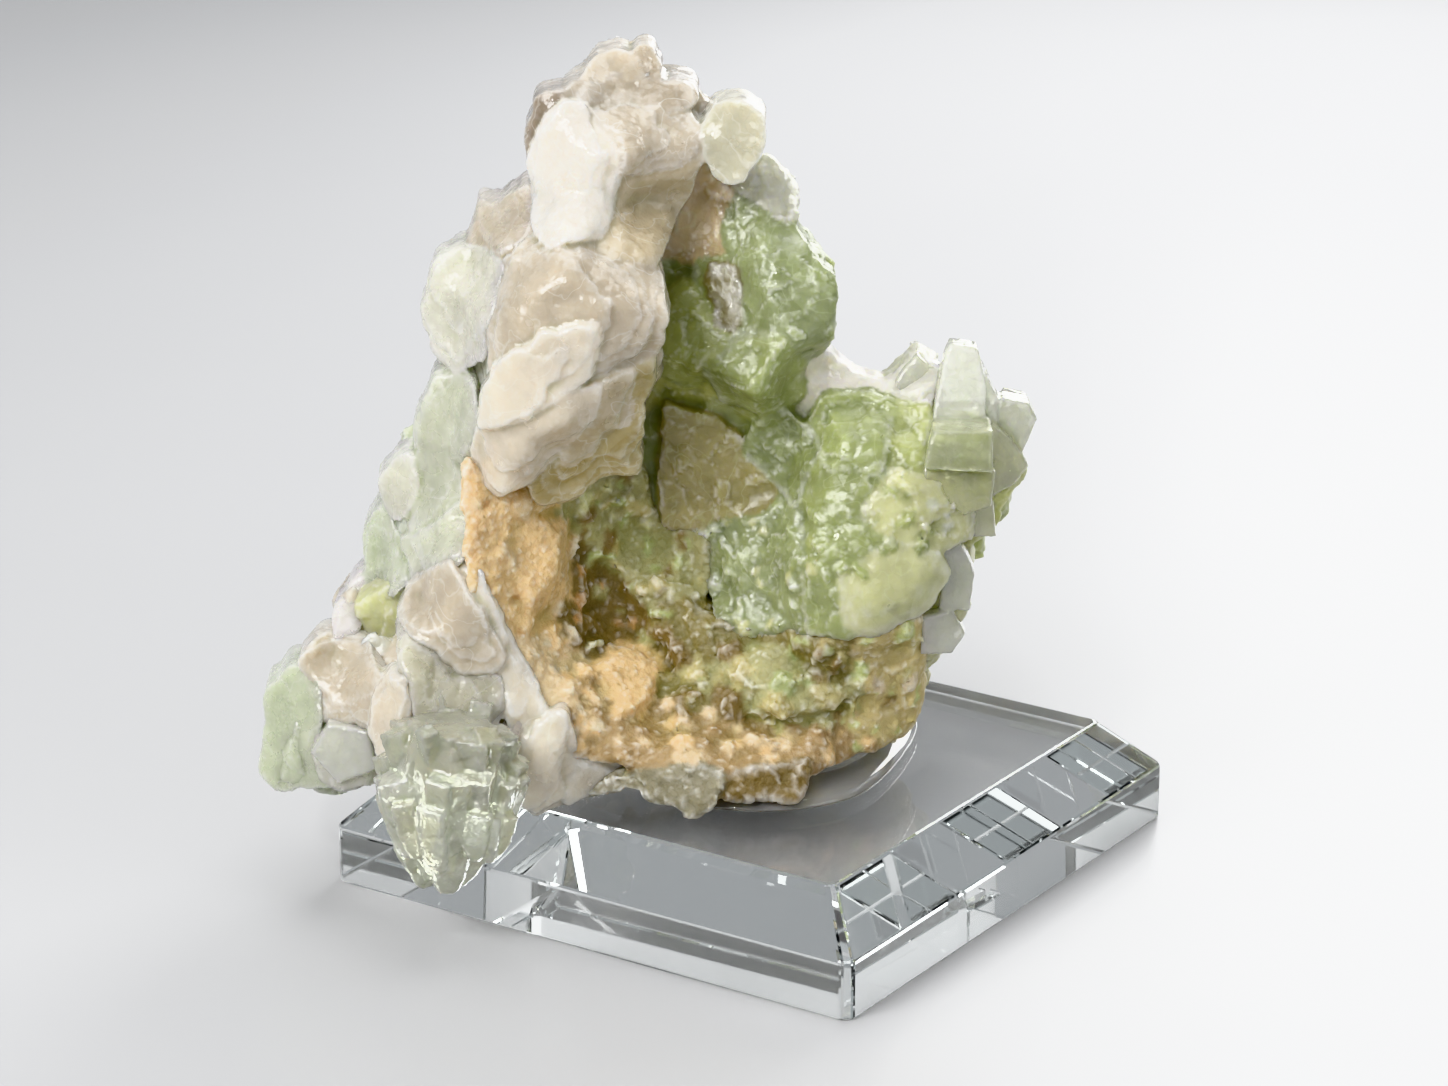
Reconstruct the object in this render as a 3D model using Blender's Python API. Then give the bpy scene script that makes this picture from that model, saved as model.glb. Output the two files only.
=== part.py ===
# Apophyllite with stilbite: one grown-together mineral specimen, held by a clear
# dome of mounting gel on a square block of clear acrylic with a bevelled top.
# Metres, +Z up. The origin is the centre of the block's underside.
import math
import random

import bmesh
import bpy
from mathutils import Matrix, Vector

MM = 0.001

# Acrylic block
BASE_SIDE = 70.0 * MM
BASE_HEIGHT = 12.7 * MM
BASE_WALL_HEIGHT = 6.8 * MM
BASE_BEVEL_INSET = 5.7 * MM
BASE_CORNER_CUT = 1.0 * MM
# A gap across the sloping bevel moves its ends by this share of the gap
BEVEL_SHARE = 0.4

# Gap between pieces that touch
GAP = 0.3 * MM

# Mounting gel: outline on the block's top, in the specimen's own u and v
PAD_OUTLINE = [
    (-17, -8), (-13.5, -16.5), (-5, -22), (4, -22.5), (12, -18.5),
    (15.5, -10), (18.5, -1), (20, 8), (13, 12), (2, 11), (-9, 8), (-15.5, 0),
]
PAD_STEPS = 4
# Height over the block's top and scale of the outline, from the rim to the crown
PAD_RINGS = [(0.0, 0.985), (0.8, 1.0), (1.6, 0.96), (2.3, 0.86), (2.7, 0.7)]
PAD_CROWN = 3.0 * MM
PAD_CENTRE = (0.5, -5.0)

# The specimen is modelled facing the viewer: u to the right, v away, z up.
# It stands on the block turned by this angle.
SPECIMEN_TURN = math.radians(33.63)

# Lumps of the body: centre (u, v, z), radii (u, v, z) in millimetres, finish
CORE = [
    ((-15, 4, 83), (9, 12, 9), "stilbite"),
    ((-7.5, 8, 66), (13.5, 13, 12.5), "apophyllite"),
    ((-26, -2, 63.5), (9, 14, 12), "stilbite"),
    ((-13.5, 10, 40), (19, 13, 17), "druse"),
    ((16.5, 4, 42.5), (10, 12, 9), "apophyllite"),
    ((10, -4, 37), (12, 12, 9.5), "apophyllite"),
    ((3.5, -3, 24), (16, 14, 9.5), "druse"),
    ((-26, -8, 38), (6, 10, 12), "crust"),
    ((-18, -8, 23), (9.5, 12, 7), "crust"),
    ((-35, 0, 35.5), (7, 13, 18), "stilbite"),
    ((-36, -9, 24.5), (8.5, 12, 9), "stilbite"),
    ((-47.5, -5, 20.5), (6.5, 9, 6), "apophyllite"),
    ((-8, 4, 27), (14, 12, 8), "druse"),
    ((-5.5, -5, 17), (13.5, 13, 5.5), "druse"),
]

# A lump with a longer radius than this gets finer facets
LARGE_LUMP = 15
# How far a corner of a lump lies from its ellipsoid, as a share of the radius
LUMP_SWELL = (0.88, 1.05)

# Smaller rounded growths on the body
NODULES = [
    ((-16, 2, 92.5), (2.5, 4, 2.8), "stilbite"),
    ((-12.5, 1, 93), (1.8, 4, 2.8), "stilbite"),
    ((-21, 2, 89), (3, 6, 2.8), "stilbite"),
    ((-9, 1, 89.5), (3, 6, 2.8), "stilbite"),
    ((-2.5, -5, 87), (3.2, 5, 4), "stilbite"),
    ((-6, 1, 87.5), (2.8, 5, 2.5), "stilbite"),
    ((3, -7, 69), (5.5, 9, 6), "apophyllite"),
    ((0.5, -2, 74.5), (4.5, 8, 5.5), "apophyllite"),
    ((0, -11, 62), (5, 7, 5), "apophyllite"),
    ((-7.5, -1, 64), (6, 8, 6), "apophyllite"),
    ((5.5, -9, 65), (3, 6, 2.8), "apophyllite"),
    ((-29.5, -18, 49), (2.8, 5, 3.5), "crust"),
    ((-29.5, -18, 42), (3.5, 6, 4), "crust"),
    ((-27.5, -17.5, 36), (4, 6, 4), "crust"),
    ((-25, -17.5, 29.5), (4.5, 6, 4), "crust"),
    ((-20, -17.5, 23.5), (5, 7, 4), "crust"),
    ((-13, -17.5, 20.5), (5.5, 7, 3.5), "crust"),
    ((-6, -17, 19.5), (5, 7, 3), "crust"),
    ((1, -16, 19.5), (4.5, 7, 3), "crust"),
    ((-32, -14, 42), (2.2, 5, 5), "stilbite"),
    ((-30.5, -16, 34), (3, 5, 5), "stilbite"),
    ((-27.5, -18, 26.5), (2.8, 5, 4), "stilbite"),
    ((-47.5, -13, 24.5), (5, 5, 4), "stilbite"),
    ((-46, -8, 27), (3.5, 6, 3), "stilbite"),
    ((-42.5, -15, 24), (2.8, 5, 4), "stilbite"),
    ((-46, -2, 30), (2.5, 6, 5), "stilbite"),
    ((8.5, -11, 17.5), (4.5, 7, 2.8), "druse"),
    ((15, -4, 18.5), (3.5, 7, 3), "druse"),
]

# Stilbite blades: front plane v = v0 + along_u (u - u0) + along_z (z - z0), its
# thickness, the point (u0, z0), then the outline (u, z) seen from the front
BLADES = [
    (-11, -0.55, -0.1, 7, (-19.5, 84.5),
     [(-21.5, 92.5), (-18.5, 92.5), (-16.5, 90), (-14.5, 88.5), (-15, 83.5), (-17, 80),
      (-17.5, 77), (-21.5, 76), (-25, 77.5), (-25.5, 84), (-24, 89)]),
    (-9, 0.2, 0.35, 9, (-11.5, 87),
     [(-17, 90), (-12, 90.5), (-7.5, 89.5), (-6, 87.5), (-7, 84.5), (-12, 83.5),
      (-15.5, 84.5), (-15.5, 87)]),
    (-7, 0.3, -0.45, 8, (-13, 79),
     [(-15.5, 84.5), (-6.5, 84.5), (-9.5, 77.5), (-12, 72.5), (-17.5, 75.5), (-16, 80.5)]),
    (-1, 0.35, -0.15, 9, (-5.5, 76),
     [(-6.5, 84), (-4.5, 82), (-1.5, 78), (-0.5, 73.5), (-1.5, 70.5), (-6.5, 70),
      (-11.5, 72), (-9, 78)]),
    (-2, -0.5, 0.1, 8, (-28.5, 75.5),
     [(-30.5, 78), (-28.5, 77.5), (-25, 80.5), (-25, 75.5), (-27.5, 71.5), (-31, 71.5), (-32, 74)]),
    (-8, -0.4, 0.1, 6, (-33, 68.5),
     [(-36, 72.5), (-33, 74.5), (-30, 74), (-28.5, 72), (-29, 66.5), (-30.5, 62), (-35, 62),
      (-36.5, 64.5), (-37, 68.5)]),
    (-21, -0.05, -0.12, 5, (-18.5, 71.5),
     [(-23, 80.5), (-17, 80.5), (-11.5, 78), (-10.5, 73.5), (-10, 69.5), (-11, 66),
      (-15.5, 63.5), (-21.5, 64.5), (-28, 63.5), (-29.5, 69.5), (-28, 76.5)]),
    (-17, 0.1, -0.05, 5, (-19, 68.5),
     [(-21.5, 78), (-15, 77.5), (-11, 73.5), (-10, 68.5), (-12, 63.5), (-16, 60.5),
      (-21.5, 59.5), (-27, 59.5), (-28, 69), (-26, 75)]),
    (-24, -0.15, -0.25, 3.5, (-24.5, 64.5),
     [(-17.5, 72.5), (-17.5, 69), (-19.5, 64.5), (-23.5, 62), (-28, 59.5), (-30.5, 57.5),
      (-31, 59), (-29.5, 63.5), (-25.5, 67.5), (-21.5, 71)]),
    (-19, -0.2, -0.3, 6, (-24.5, 55),
     [(-30.5, 57), (-23.5, 61.5), (-17.5, 63), (-17.5, 59.5), (-19, 56.5), (-21.5, 54),
      (-25, 51), (-28, 48), (-30.5, 48.5), (-31.5, 52.5)]),
    (-15, 0.1, -0.25, 6, (-16, 56.5),
     [(-18.5, 60.5), (-12.5, 63.5), (-11.5, 61.5), (-12.4, 58), (-13, 55), (-15, 50.5),
      (-18.5, 50), (-22, 51.5), (-20.8, 56.5)]),
    (-11, -0.45, -0.1, 8, (-34.5, 53),
     [(-35, 63.5), (-30, 63.5), (-31, 58), (-31.5, 52), (-32, 44.5), (-35.5, 41), (-38.5, 42),
      (-38.5, 52), (-37, 58.5)]),
    (-5, -0.4, 0, 9, (-41, 41.5),
     [(-38.5, 51), (-42, 47.5), (-42, 44.5), (-44, 41.5), (-44, 38), (-44.5, 34), (-40, 33.5),
      (-37, 38), (-36, 45.5)]),
    (-14, -0.3, -0.1, 7, (-35.5, 40.5),
     [(-38.5, 45.5), (-32, 48.5), (-31.5, 43.5), (-33.5, 41), (-35.5, 34.5), (-38.5, 34), (-39.5, 38)]),
    (-19, -0.2, -0.25, 4, (-34, 34.5),
     [(-34.5, 43.5), (-33.5, 40.5), (-30.5, 34.5), (-28.5, 31), (-30.5, 26.5), (-35, 29.5),
      (-38, 32), (-40, 35.5), (-37.5, 38.5)]),
    (-21, -0.1, -0.2, 4, (-35, 27.5),
     [(-40, 36.5), (-35, 32), (-28.5, 28.5), (-29.5, 22.5), (-35, 21), (-38.5, 23.5), (-39.5, 29)]),
    (-23, -0.2, -0.1, 3.5, (-40.5, 25),
     [(-41, 30), (-38.5, 29.5), (-38.5, 21.5), (-40.5, 19.5), (-43, 21.5), (-42.5, 27)]),
    (-22, 0, -0.15, 4, (-33.5, 20.5),
     [(-38.5, 25), (-29.5, 23), (-28, 22), (-31.5, 17.5), (-36.5, 16.5), (-38.5, 19.5)]),
    (-22, 0.2, 0, 5, (-28, 20),
     [(-28.5, 25), (-26, 25), (-26.5, 18.5), (-27.5, 15), (-29.5, 15.5), (-31, 20)]),
    (-22.5, 0.1, -0.1, 7, (-23.5, 18),
     [(-26, 23.5), (-21.5, 24), (-19.5, 19.5), (-21.5, 15), (-22.5, 13.8), (-26, 14), (-27, 17)]),
    (-20, 0.2, -0.2, 7, (-18.5, 16.5),
     [(-21.5, 18.5), (-14.5, 18), (-17, 15), (-21, 14)]),
    (-1, 0.12, 0.05, 6, (-3.5, 47),
     [(-11, 56.5), (-2, 53.5), (0.5, 50.5), (2.5, 46.5), (2, 43), (-2, 43), (-6.5, 40.5), (-11, 41)]),
    (-5, 0.25, -0.1, 6, (3.5, 50.5),
     [(1.5, 55.5), (4, 55.5), (7, 51.5), (6, 46.5), (4.5, 44), (3, 48), (0.5, 51)]),
    (6, 0, 0, 9, (9.5, 53.5),
     [(4.5, 56), (7.5, 58), (11, 55), (16, 54), (14, 49.5), (7.5, 50), (5, 51.5)]),
]
# Corners of one blocky growth, and how far each lies from its ellipsoid
CHUNK_CORNERS = 17
CHUNK_SWELL = (0.92, 1.1)
CHUNK_TURN = 0.2

# Size of a blade's front and back against its middle, and the wear of its corners
BLADE_RIM = 0.9
BLADE_BACK_RIM = 0.846
BLADE_WEAR = 0.06
# A blade's widest part lies between these shares of its thickness
BLADE_WAIST = (0.25, 0.6)

# A crystal's prism ends at this share of its length, a little narrower than its base
SHOULDER = 0.55
SHOULDER_WIDTH = 0.97
# Range of a crystal's turn about its own axis, radians
CRYSTAL_SPIN = (0.2, 1.2)

# Apophyllite crystals: base centre, tip centre (u, v, z), width at base and tip
CRYSTALS = [
    ((23.5, -6, 52), (23, -6, 63), 8, 3.5),
    ((18, -2, 53), (17.5, -2, 60.5), 5.5, 2.5),
    ((27, -4, 51), (31, -4, 54.5), 5, 3),
    ((27, -2, 52), (29.5, -2, 55.5), 3.5, 2),
    ((11, -4, 46), (10.5, -15, 53), 8, 7),
    ((17, -4, 48), (16.5, -14, 53), 6, 5.5),
    ((23, -3, 48), (23, -14, 51.5), 8, 7),
    ((25, -4, 48.5), (29.5, -7, 49.5), 7.5, 2.5),
    ((22, -4, 43.5), (26.5, -8, 43.5), 6, 3.5),
    ((19.5, -6, 38.5), (24.5, -7, 38.5), 6, 2.5),
    ((19.5, -8, 34), (24, -9, 34.5), 6, 3.5),
    ((17.5, -8, 29), (21.5, -9, 28.5), 6, 3),
    ((15, -6, 42), (15, -18, 47), 7.5, 4.5),
    ((19, -6, 37.5), (20, -16, 40.5), 6.5, 4),
    ((9.5, -6, 40), (9.5, -19, 46), 7, 5),
    ((13.5, -8, 34), (13.5, -19, 37), 9, 6.5),
    ((7, -8, 33.5), (6.5, -20, 38), 8, 6),
    ((1.5, -6, 34), (1, -17, 38), 8, 6),
    ((2, -4, 40), (1, -12, 42.5), 6, 4),
    ((-3, 0, 79.5), (0, 0, 82), 3.5, 2),
    ((-1, 1, 77.5), (1.8, 1, 80.5), 3.5, 2.2),
    ((-0.5, 0, 76), (3.5, 0, 79), 4.5, 2.8),
    ((1, 0, 74), (4.6, 0, 75.2), 2.5, 1.4),
    ((1, 0, 72), (4.5, 0, 73.2), 2.5, 1.4),
    ((-49, -9, 24), (-51.3, -12, 12.8), 9.5, 8.5),
    ((-45, -11, 19), (-46.5, -19, 18), 8.5, 6),
    ((-6.5, -15, 18), (-7.5, -24, 14.8), 9, 5),
    ((-2.5, -16, 17), (-2.5, -22.5, 15.2), 6.5, 4.5),
    ((3, -14, 17.5), (3, -22, 15.2), 6.5, 5.5),
    ((-12.5, -13, 17), (-11.5, -21.5, 15.4), 8, 4.5),
]

# The large crystal that hangs beside the block
PENDANT_AXIS = (-34, -27)
PENDANT_RINGS = [
    (26, 6.5, 9.5), (20, 8.6, 7.5), (14.5, 7.6, 6.6), (9.5, 3.6, 3.6), (7.2, 1, 1.2),
]
PENDANT_SIDES = 7
PENDANT_TURN = 0.35
PENDANT_WOBBLE = (0.93, 1.05)

# Crystals sown over the lumps: number on each lump for each finish, length and
# width in millimetres
SOWN = {
    "apophyllite": (22, 2.8, 5.4),
    "stilbite": (20, 2.4, 5.4),
    "druse": (34, 2.6, 5.2),
    "crust": (6, 1.6, 3.6),
}
# On the far side the sown crystals are larger, on the near side every other is left out
FAR_SIDE_SIZE = 1.55
# Sown stilbite blades are this wide and thin against their listed width
SOWN_BLADE_WIDTH = 1.5
SOWN_BLADE_FLAT = 0.35
SOWN_LEAN = 0.35
SOWN_SIZE = (0.65, 1.15)
# A sown crystal's root lies this share of its width under the surface, and its tip is
# this share of its base, for a blade and for a block
SOWN_ROOT = 0.45
SOWN_TAPER = (0.75, 0.5)
# None is sown near the block, on a lump's underside, inside another lump or in front
# of the large blades
SOWN_FOOT_ROOM = 2.0
SOWN_UNDERSIDE = -0.8
INSIDE_SHARE = 0.97
SOWN_CLEAR_FRONT = -9.0
SOWN_SEED = 48

# Faces flatter than this to each other are merged, then the slivers down to the budget
FLAT_ANGLE = math.radians(0.03)
TRIANGLE_BUDGET = 9300


def local(u, v, z):
    return Vector((u, v, z)) * MM


def finish(name, color, roughness, transmission=0.0):
    material = bpy.data.materials.new(name)
    material.use_nodes = True
    shader = material.node_tree.nodes["Principled BSDF"]
    shader.inputs["Base Color"].default_value = (*color, 1.0)
    shader.inputs["Roughness"].default_value = roughness
    shader.inputs["Metallic"].default_value = 0.0
    shader.inputs["Transmission Weight"].default_value = transmission
    material.diffuse_color = (*color, 1.0)
    return material


def new_object(name, mesh, material=None):
    thing = bpy.data.objects.new(name, mesh)
    bpy.context.collection.objects.link(thing)
    if material:
        mesh.materials.append(material)
    return thing


def mesh_from(name, shape):
    bmesh.ops.recalc_face_normals(shape, faces=shape.faces)
    mesh = bpy.data.meshes.new(name)
    shape.to_mesh(mesh)
    shape.free()
    return mesh


def hull_shape(points):
    """The smallest convex solid around the points."""
    shape = bmesh.new()
    for point in points:
        shape.verts.new(point)
    result = bmesh.ops.convex_hull(shape, input=shape.verts, use_existing_faces=False)
    unused = {v for v in result["geom_interior"] if isinstance(v, bmesh.types.BMVert)}
    bmesh.ops.delete(shape, geom=list(unused), context="VERTS")
    return shape


def lathe_rings(rings, crown=None):
    """A closed solid through rings of points, from the lowest to the highest."""
    shape = bmesh.new()
    loops = [[shape.verts.new(point) for point in ring] for ring in rings]
    count = len(loops[0])
    shape.faces.new(list(reversed(loops[0])))
    for lower, upper in zip(loops, loops[1:]):
        for i in range(count):
            j = (i + 1) % count
            shape.faces.new((lower[i], lower[j], upper[j], upper[i]))
    if crown is None:
        shape.faces.new(loops[-1])
    else:
        tip = shape.verts.new(crown)
        for i in range(count):
            shape.faces.new((loops[-1][i], loops[-1][(i + 1) % count], tip))
    return shape


def base_points(grow=0.0):
    """Corners of the block, or of the space around it when grown."""
    half = BASE_SIDE / 2 + grow
    cut = BASE_CORNER_CUT
    wall_top = BASE_WALL_HEIGHT + grow * BEVEL_SHARE
    top_half = BASE_SIDE / 2 - BASE_BEVEL_INSET + grow * BEVEL_SHARE
    points = []
    for x_side in (-1, 1):
        for y_side in (-1, 1):
            for z in (-grow, wall_top):
                points.append(Vector((x_side * half, y_side * (half - cut), z)))
                points.append(Vector((x_side * (half - cut), y_side * half, z)))
            points.append(Vector((x_side * top_half, y_side * top_half, BASE_HEIGHT + grow)))
    return points


def make_base():
    shape = hull_shape(base_points())
    bmesh.ops.dissolve_limit(
        shape, angle_limit=math.radians(0.5), verts=shape.verts, edges=shape.edges)
    material = finish("clear acrylic", (0.95, 0.97, 0.97), 0.02, 1.0)
    return new_object("acrylic_base", mesh_from("acrylic_base", shape), material)


def smooth_outline(points, steps):
    """Points along a closed curve through the given ones."""
    curve = []
    count = len(points)
    for i in range(count):
        p0, p1, p2, p3 = (Vector(points[(i + k - 1) % count]) for k in range(4))
        for step in range(steps):
            t = step / steps
            curve.append(0.5 * (2 * p1 + (p2 - p0) * t + (2 * p0 - 5 * p1 + 4 * p2 - p3) * t * t
                                + (3 * p1 - p0 - 3 * p2 + p3) * t * t * t))
    return curve


def pad_shape(grow=0.0):
    outline = smooth_outline(PAD_OUTLINE, PAD_STEPS)
    centre = Vector(PAD_CENTRE)
    foot = BASE_HEIGHT + GAP
    rings = []
    for height, scale in PAD_RINGS:
        ring = []
        for point in outline:
            away = (point - centre) * scale
            away = away + away.normalized() * grow / MM
            ring.append(local(centre.x + away.x, centre.y + away.y, height)
                        + Vector((0, 0, foot + grow)))
        rings.append(ring)
    if grow:
        rings[0] = [point - Vector((0, 0, 2 * grow)) for point in rings[0]]
    crown = local(*PAD_CENTRE, 0) + Vector((0, 0, foot + PAD_CROWN + grow))
    return lathe_rings(rings, crown)


def make_pad():
    material = finish("clear gel", (0.93, 0.94, 0.94), 0.08, 1.0)
    pad = new_object("mounting_pad", mesh_from("mounting_pad", pad_shape()), material)
    pad.rotation_euler.z = SPECIMEN_TURN
    return pad


def lump_shape(centre, radii, detail, rng):
    """A lump with uneven flat facets."""
    shape = bmesh.new()
    bmesh.ops.create_icosphere(shape, subdivisions=detail, radius=1.0)
    spin = Matrix.Rotation(rng.uniform(0, math.tau), 4, Vector((0.3, 0.5, 0.8)))
    bmesh.ops.transform(shape, matrix=spin, verts=shape.verts)
    for vert in shape.verts:
        swell = rng.uniform(*LUMP_SWELL)
        vert.co = local(*(c + r * k * swell for c, r, k in zip(centre, radii, vert.co)))
    return shape


def chunk_shape(centre, radii, rng):
    """A blocky crystal growth: a hull with a few large flat faces."""
    points = []
    for direction in golden_directions(CHUNK_CORNERS):
        swell = rng.uniform(*CHUNK_SWELL)
        turned = Matrix.Rotation(rng.uniform(-CHUNK_TURN, CHUNK_TURN), 3, "Z") @ direction
        points.append(local(*(c + r * k * swell for c, r, k in zip(centre, radii, turned))))
    return hull_shape(points)


def blade_shape(rng, v0, along_u, along_z, thickness, pivot, outline):
    """A tabular blade: sloping faces, widest at half its thickness."""
    middle = Vector((sum(p[0] for p in outline), sum(p[1] for p in outline))) / len(outline)

    def ring(scale, depth):
        points = []
        for u, z in outline:
            u = middle.x + (u - middle.x) * scale
            z = middle.y + (z - middle.y) * scale
            v = v0 + along_u * (u - pivot[0]) + along_z * (z - pivot[1]) + depth
            wear = local(*(rng.uniform(-BLADE_WEAR, BLADE_WEAR) for _ in range(3)))
            points.append(local(u, v, z) + wear)
        return points

    near, far = (thickness * share for share in BLADE_WAIST)
    return lathe_rings([
        ring(BLADE_RIM, 0), ring(1.0, near), ring(1.0, far), ring(BLADE_BACK_RIM, thickness)])


def crystal_shape(base, tip, base_width, tip_width, spin, flat=1.0, shoulder=True):
    """A square prism that ends in a cut-off pyramid, or that pyramid alone."""
    base = local(*base)
    axis = local(*tip) - base
    turn = axis.to_track_quat("Z", "Y").to_matrix() @ Matrix.Rotation(spin, 3, "Z")
    rings = []
    levels = [(0.0, base_width), (SHOULDER, base_width * SHOULDER_WIDTH), (1.0, tip_width)]
    if not shoulder:
        del levels[1]
    for along, width in levels:
        half = width * MM / 2
        ring = []
        for x, y in ((-1, -1), (1, -1), (1, 1), (-1, 1)):
            ring.append(base + turn @ Vector((x * half, y * half * flat, axis.length * along)))
        rings.append(ring)
    return lathe_rings(rings)


def pendant_shape(rng):
    rings = []
    for z, half_u, half_v in reversed(PENDANT_RINGS):
        ring = []
        for i in range(PENDANT_SIDES):
            angle = math.tau * (i + PENDANT_TURN) / PENDANT_SIDES
            wobble = rng.uniform(*PENDANT_WOBBLE)
            ring.append(local(
                PENDANT_AXIS[0] + half_u * wobble * math.cos(angle),
                PENDANT_AXIS[1] + half_v * wobble * math.sin(angle), z))
        rings.append(ring)
    return lathe_rings(rings)


def golden_directions(count):
    golden = math.pi * (3 - math.sqrt(5))
    for i in range(count):
        height = 1 - 2 * (i + 0.5) / count
        radius = math.sqrt(1 - height * height)
        yield Vector((radius * math.cos(golden * i), radius * math.sin(golden * i), height))


def inside_a_lump(point, skip):
    for centre, radii, _ in CORE:
        if centre is skip:
            continue
        if sum(((p - c) / r) ** 2 for p, c, r in zip(point, centre, radii)) < INSIDE_SHARE:
            return True
    return False


def sown_shapes(rng):
    """Small crystals that stand on the lumps, most of them on the sides and back."""
    shapes = []
    for centre, radii, kind in CORE:
        count, length, width = SOWN[kind]
        for index, direction in enumerate(golden_directions(count)):
            point = [c + r * d for c, r, d in zip(centre, radii, direction)]
            normal = Vector(d / r for d, r in zip(direction, radii)).normalized()
            lean = Vector(rng.uniform(-SOWN_LEAN, SOWN_LEAN) for _ in range(3))
            size = rng.uniform(*SOWN_SIZE)
            spin = rng.uniform(0, math.tau)
            if direction.y > 0:
                size *= FAR_SIDE_SIZE
            elif index % 2:
                continue
            hidden = inside_a_lump(point, centre)
            behind_blades = kind == "stilbite" and point[1] < SOWN_CLEAR_FRONT
            too_low = point[2] < BASE_HEIGHT / MM + SOWN_FOOT_ROOM or direction.z < SOWN_UNDERSIDE
            if hidden or behind_blades or too_low:
                continue
            axis = (normal + lean).normalized()
            root = Vector(point) - axis * width * SOWN_ROOT
            tip = Vector(point) + axis * length * size
            bladed = kind == "stilbite"
            flat = SOWN_BLADE_FLAT if bladed else 1.0
            taper = SOWN_TAPER[0] if bladed else SOWN_TAPER[1]
            base_width = width * size * (SOWN_BLADE_WIDTH if bladed else 1.0)
            shapes.append(crystal_shape(
                root, tip, base_width, base_width * taper, spin, flat, shoulder=False))
    return shapes


def specimen_shapes():
    rng = random.Random(SOWN_SEED)
    shapes = []
    for centre, radii, _ in CORE:
        shapes.append(lump_shape(centre, radii, 3 if max(radii) > LARGE_LUMP else 2, rng))
    for centre, radii, _ in NODULES:
        shapes.append(chunk_shape(centre, radii, rng))
    for blade in BLADES:
        shapes.append(blade_shape(rng, *blade))
    for base, tip, base_width, tip_width in CRYSTALS:
        shapes.append(crystal_shape(base, tip, base_width, tip_width, rng.uniform(*CRYSTAL_SPIN)))
    shapes.append(pendant_shape(rng))
    return shapes + sown_shapes(rng)


def boolean(target, operation, **operand):
    modifier = target.modifiers.new(operation.lower(), "BOOLEAN")
    modifier.operation = operation
    for key, value in operand.items():
        setattr(modifier, key, value)


def guide(name, shape, collection=None):
    bmesh.ops.triangulate(shape, faces=shape.faces)
    thing = bpy.data.objects.new(name, mesh_from(name, shape))
    (collection or bpy.context.collection).objects.link(thing)
    thing.hide_render = True
    thing.display_type = "WIRE"
    return thing


def keep_largest_shell(shape):
    """Drops loose chips and closed bubbles left inside."""
    unseen = set(shape.verts)
    shells = []
    while unseen:
        shell = {unseen.pop()}
        front = list(shell)
        while front:
            vert = front.pop()
            for edge in vert.link_edges:
                other = edge.other_vert(vert)
                if other in unseen:
                    unseen.discard(other)
                    shell.add(other)
                    front.append(other)
        shells.append(shell)
    shells.sort(key=len)
    loose = [vert for shell in shells[:-1] for vert in shell]
    bmesh.ops.delete(shape, geom=loose, context="VERTS")


def apply_modifiers(thing):
    """Gives the object its evaluated mesh, as triangles, with its largest shell alone."""
    bpy.context.view_layer.update()
    depsgraph = bpy.context.evaluated_depsgraph_get()
    shape = bmesh.new()
    shape.from_mesh(thing.evaluated_get(depsgraph).to_mesh())
    bmesh.ops.dissolve_limit(
        shape, angle_limit=FLAT_ANGLE, verts=shape.verts, edges=shape.edges)
    bmesh.ops.triangulate(shape, faces=shape.faces)
    keep_largest_shell(shape)
    thing.modifiers.clear()
    shape.to_mesh(thing.data)
    shape.free()


def thin_out(thing):
    """Merges the slivers along the joints until the triangle budget is met."""
    modifier = thing.modifiers.new("fewer slivers", "DECIMATE")
    modifier.ratio = min(1.0, TRIANGLE_BUDGET / len(thing.data.polygons))
    modifier.use_collapse_triangulate = True


def make_specimen():
    material = finish("stilbite and apophyllite", (0.72, 0.76, 0.55), 0.35)
    collection = bpy.data.collections.new("grown shapes")
    bpy.context.scene.collection.children.link(collection)
    shapes = specimen_shapes()
    specimen = new_object("specimen", mesh_from("specimen", shapes[0]), material)
    for index, shape in enumerate(shapes[1:]):
        guide(f"growth_{index:03d}", shape, collection)
    boolean(specimen, "UNION", operand_type="COLLECTION", collection=collection)
    block_space = guide("space around the block", hull_shape(base_points(GAP)))
    block_space.rotation_euler.z = -SPECIMEN_TURN
    pad_space = guide("space around the gel", pad_shape(GAP))
    boolean(specimen, "DIFFERENCE", object=block_space)
    boolean(specimen, "DIFFERENCE", object=pad_space)

    apply_modifiers(specimen)
    thin_out(specimen)
    apply_modifiers(specimen)
    for leftover in list(collection.objects) + [block_space, pad_space]:
        bpy.data.objects.remove(leftover)
    specimen.rotation_euler.z = SPECIMEN_TURN
    return specimen


def main():
    for thing in list(bpy.data.objects):
        bpy.data.objects.remove(thing)
    make_base()
    make_pad()
    make_specimen()


main()
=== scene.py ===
import math
import random

import bmesh
import bpy
import numpy as np
from mathutils import Matrix, Vector
from mathutils.bvhtree import BVHTree
from mathutils.geometry import delaunay_2d_cdt


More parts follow.
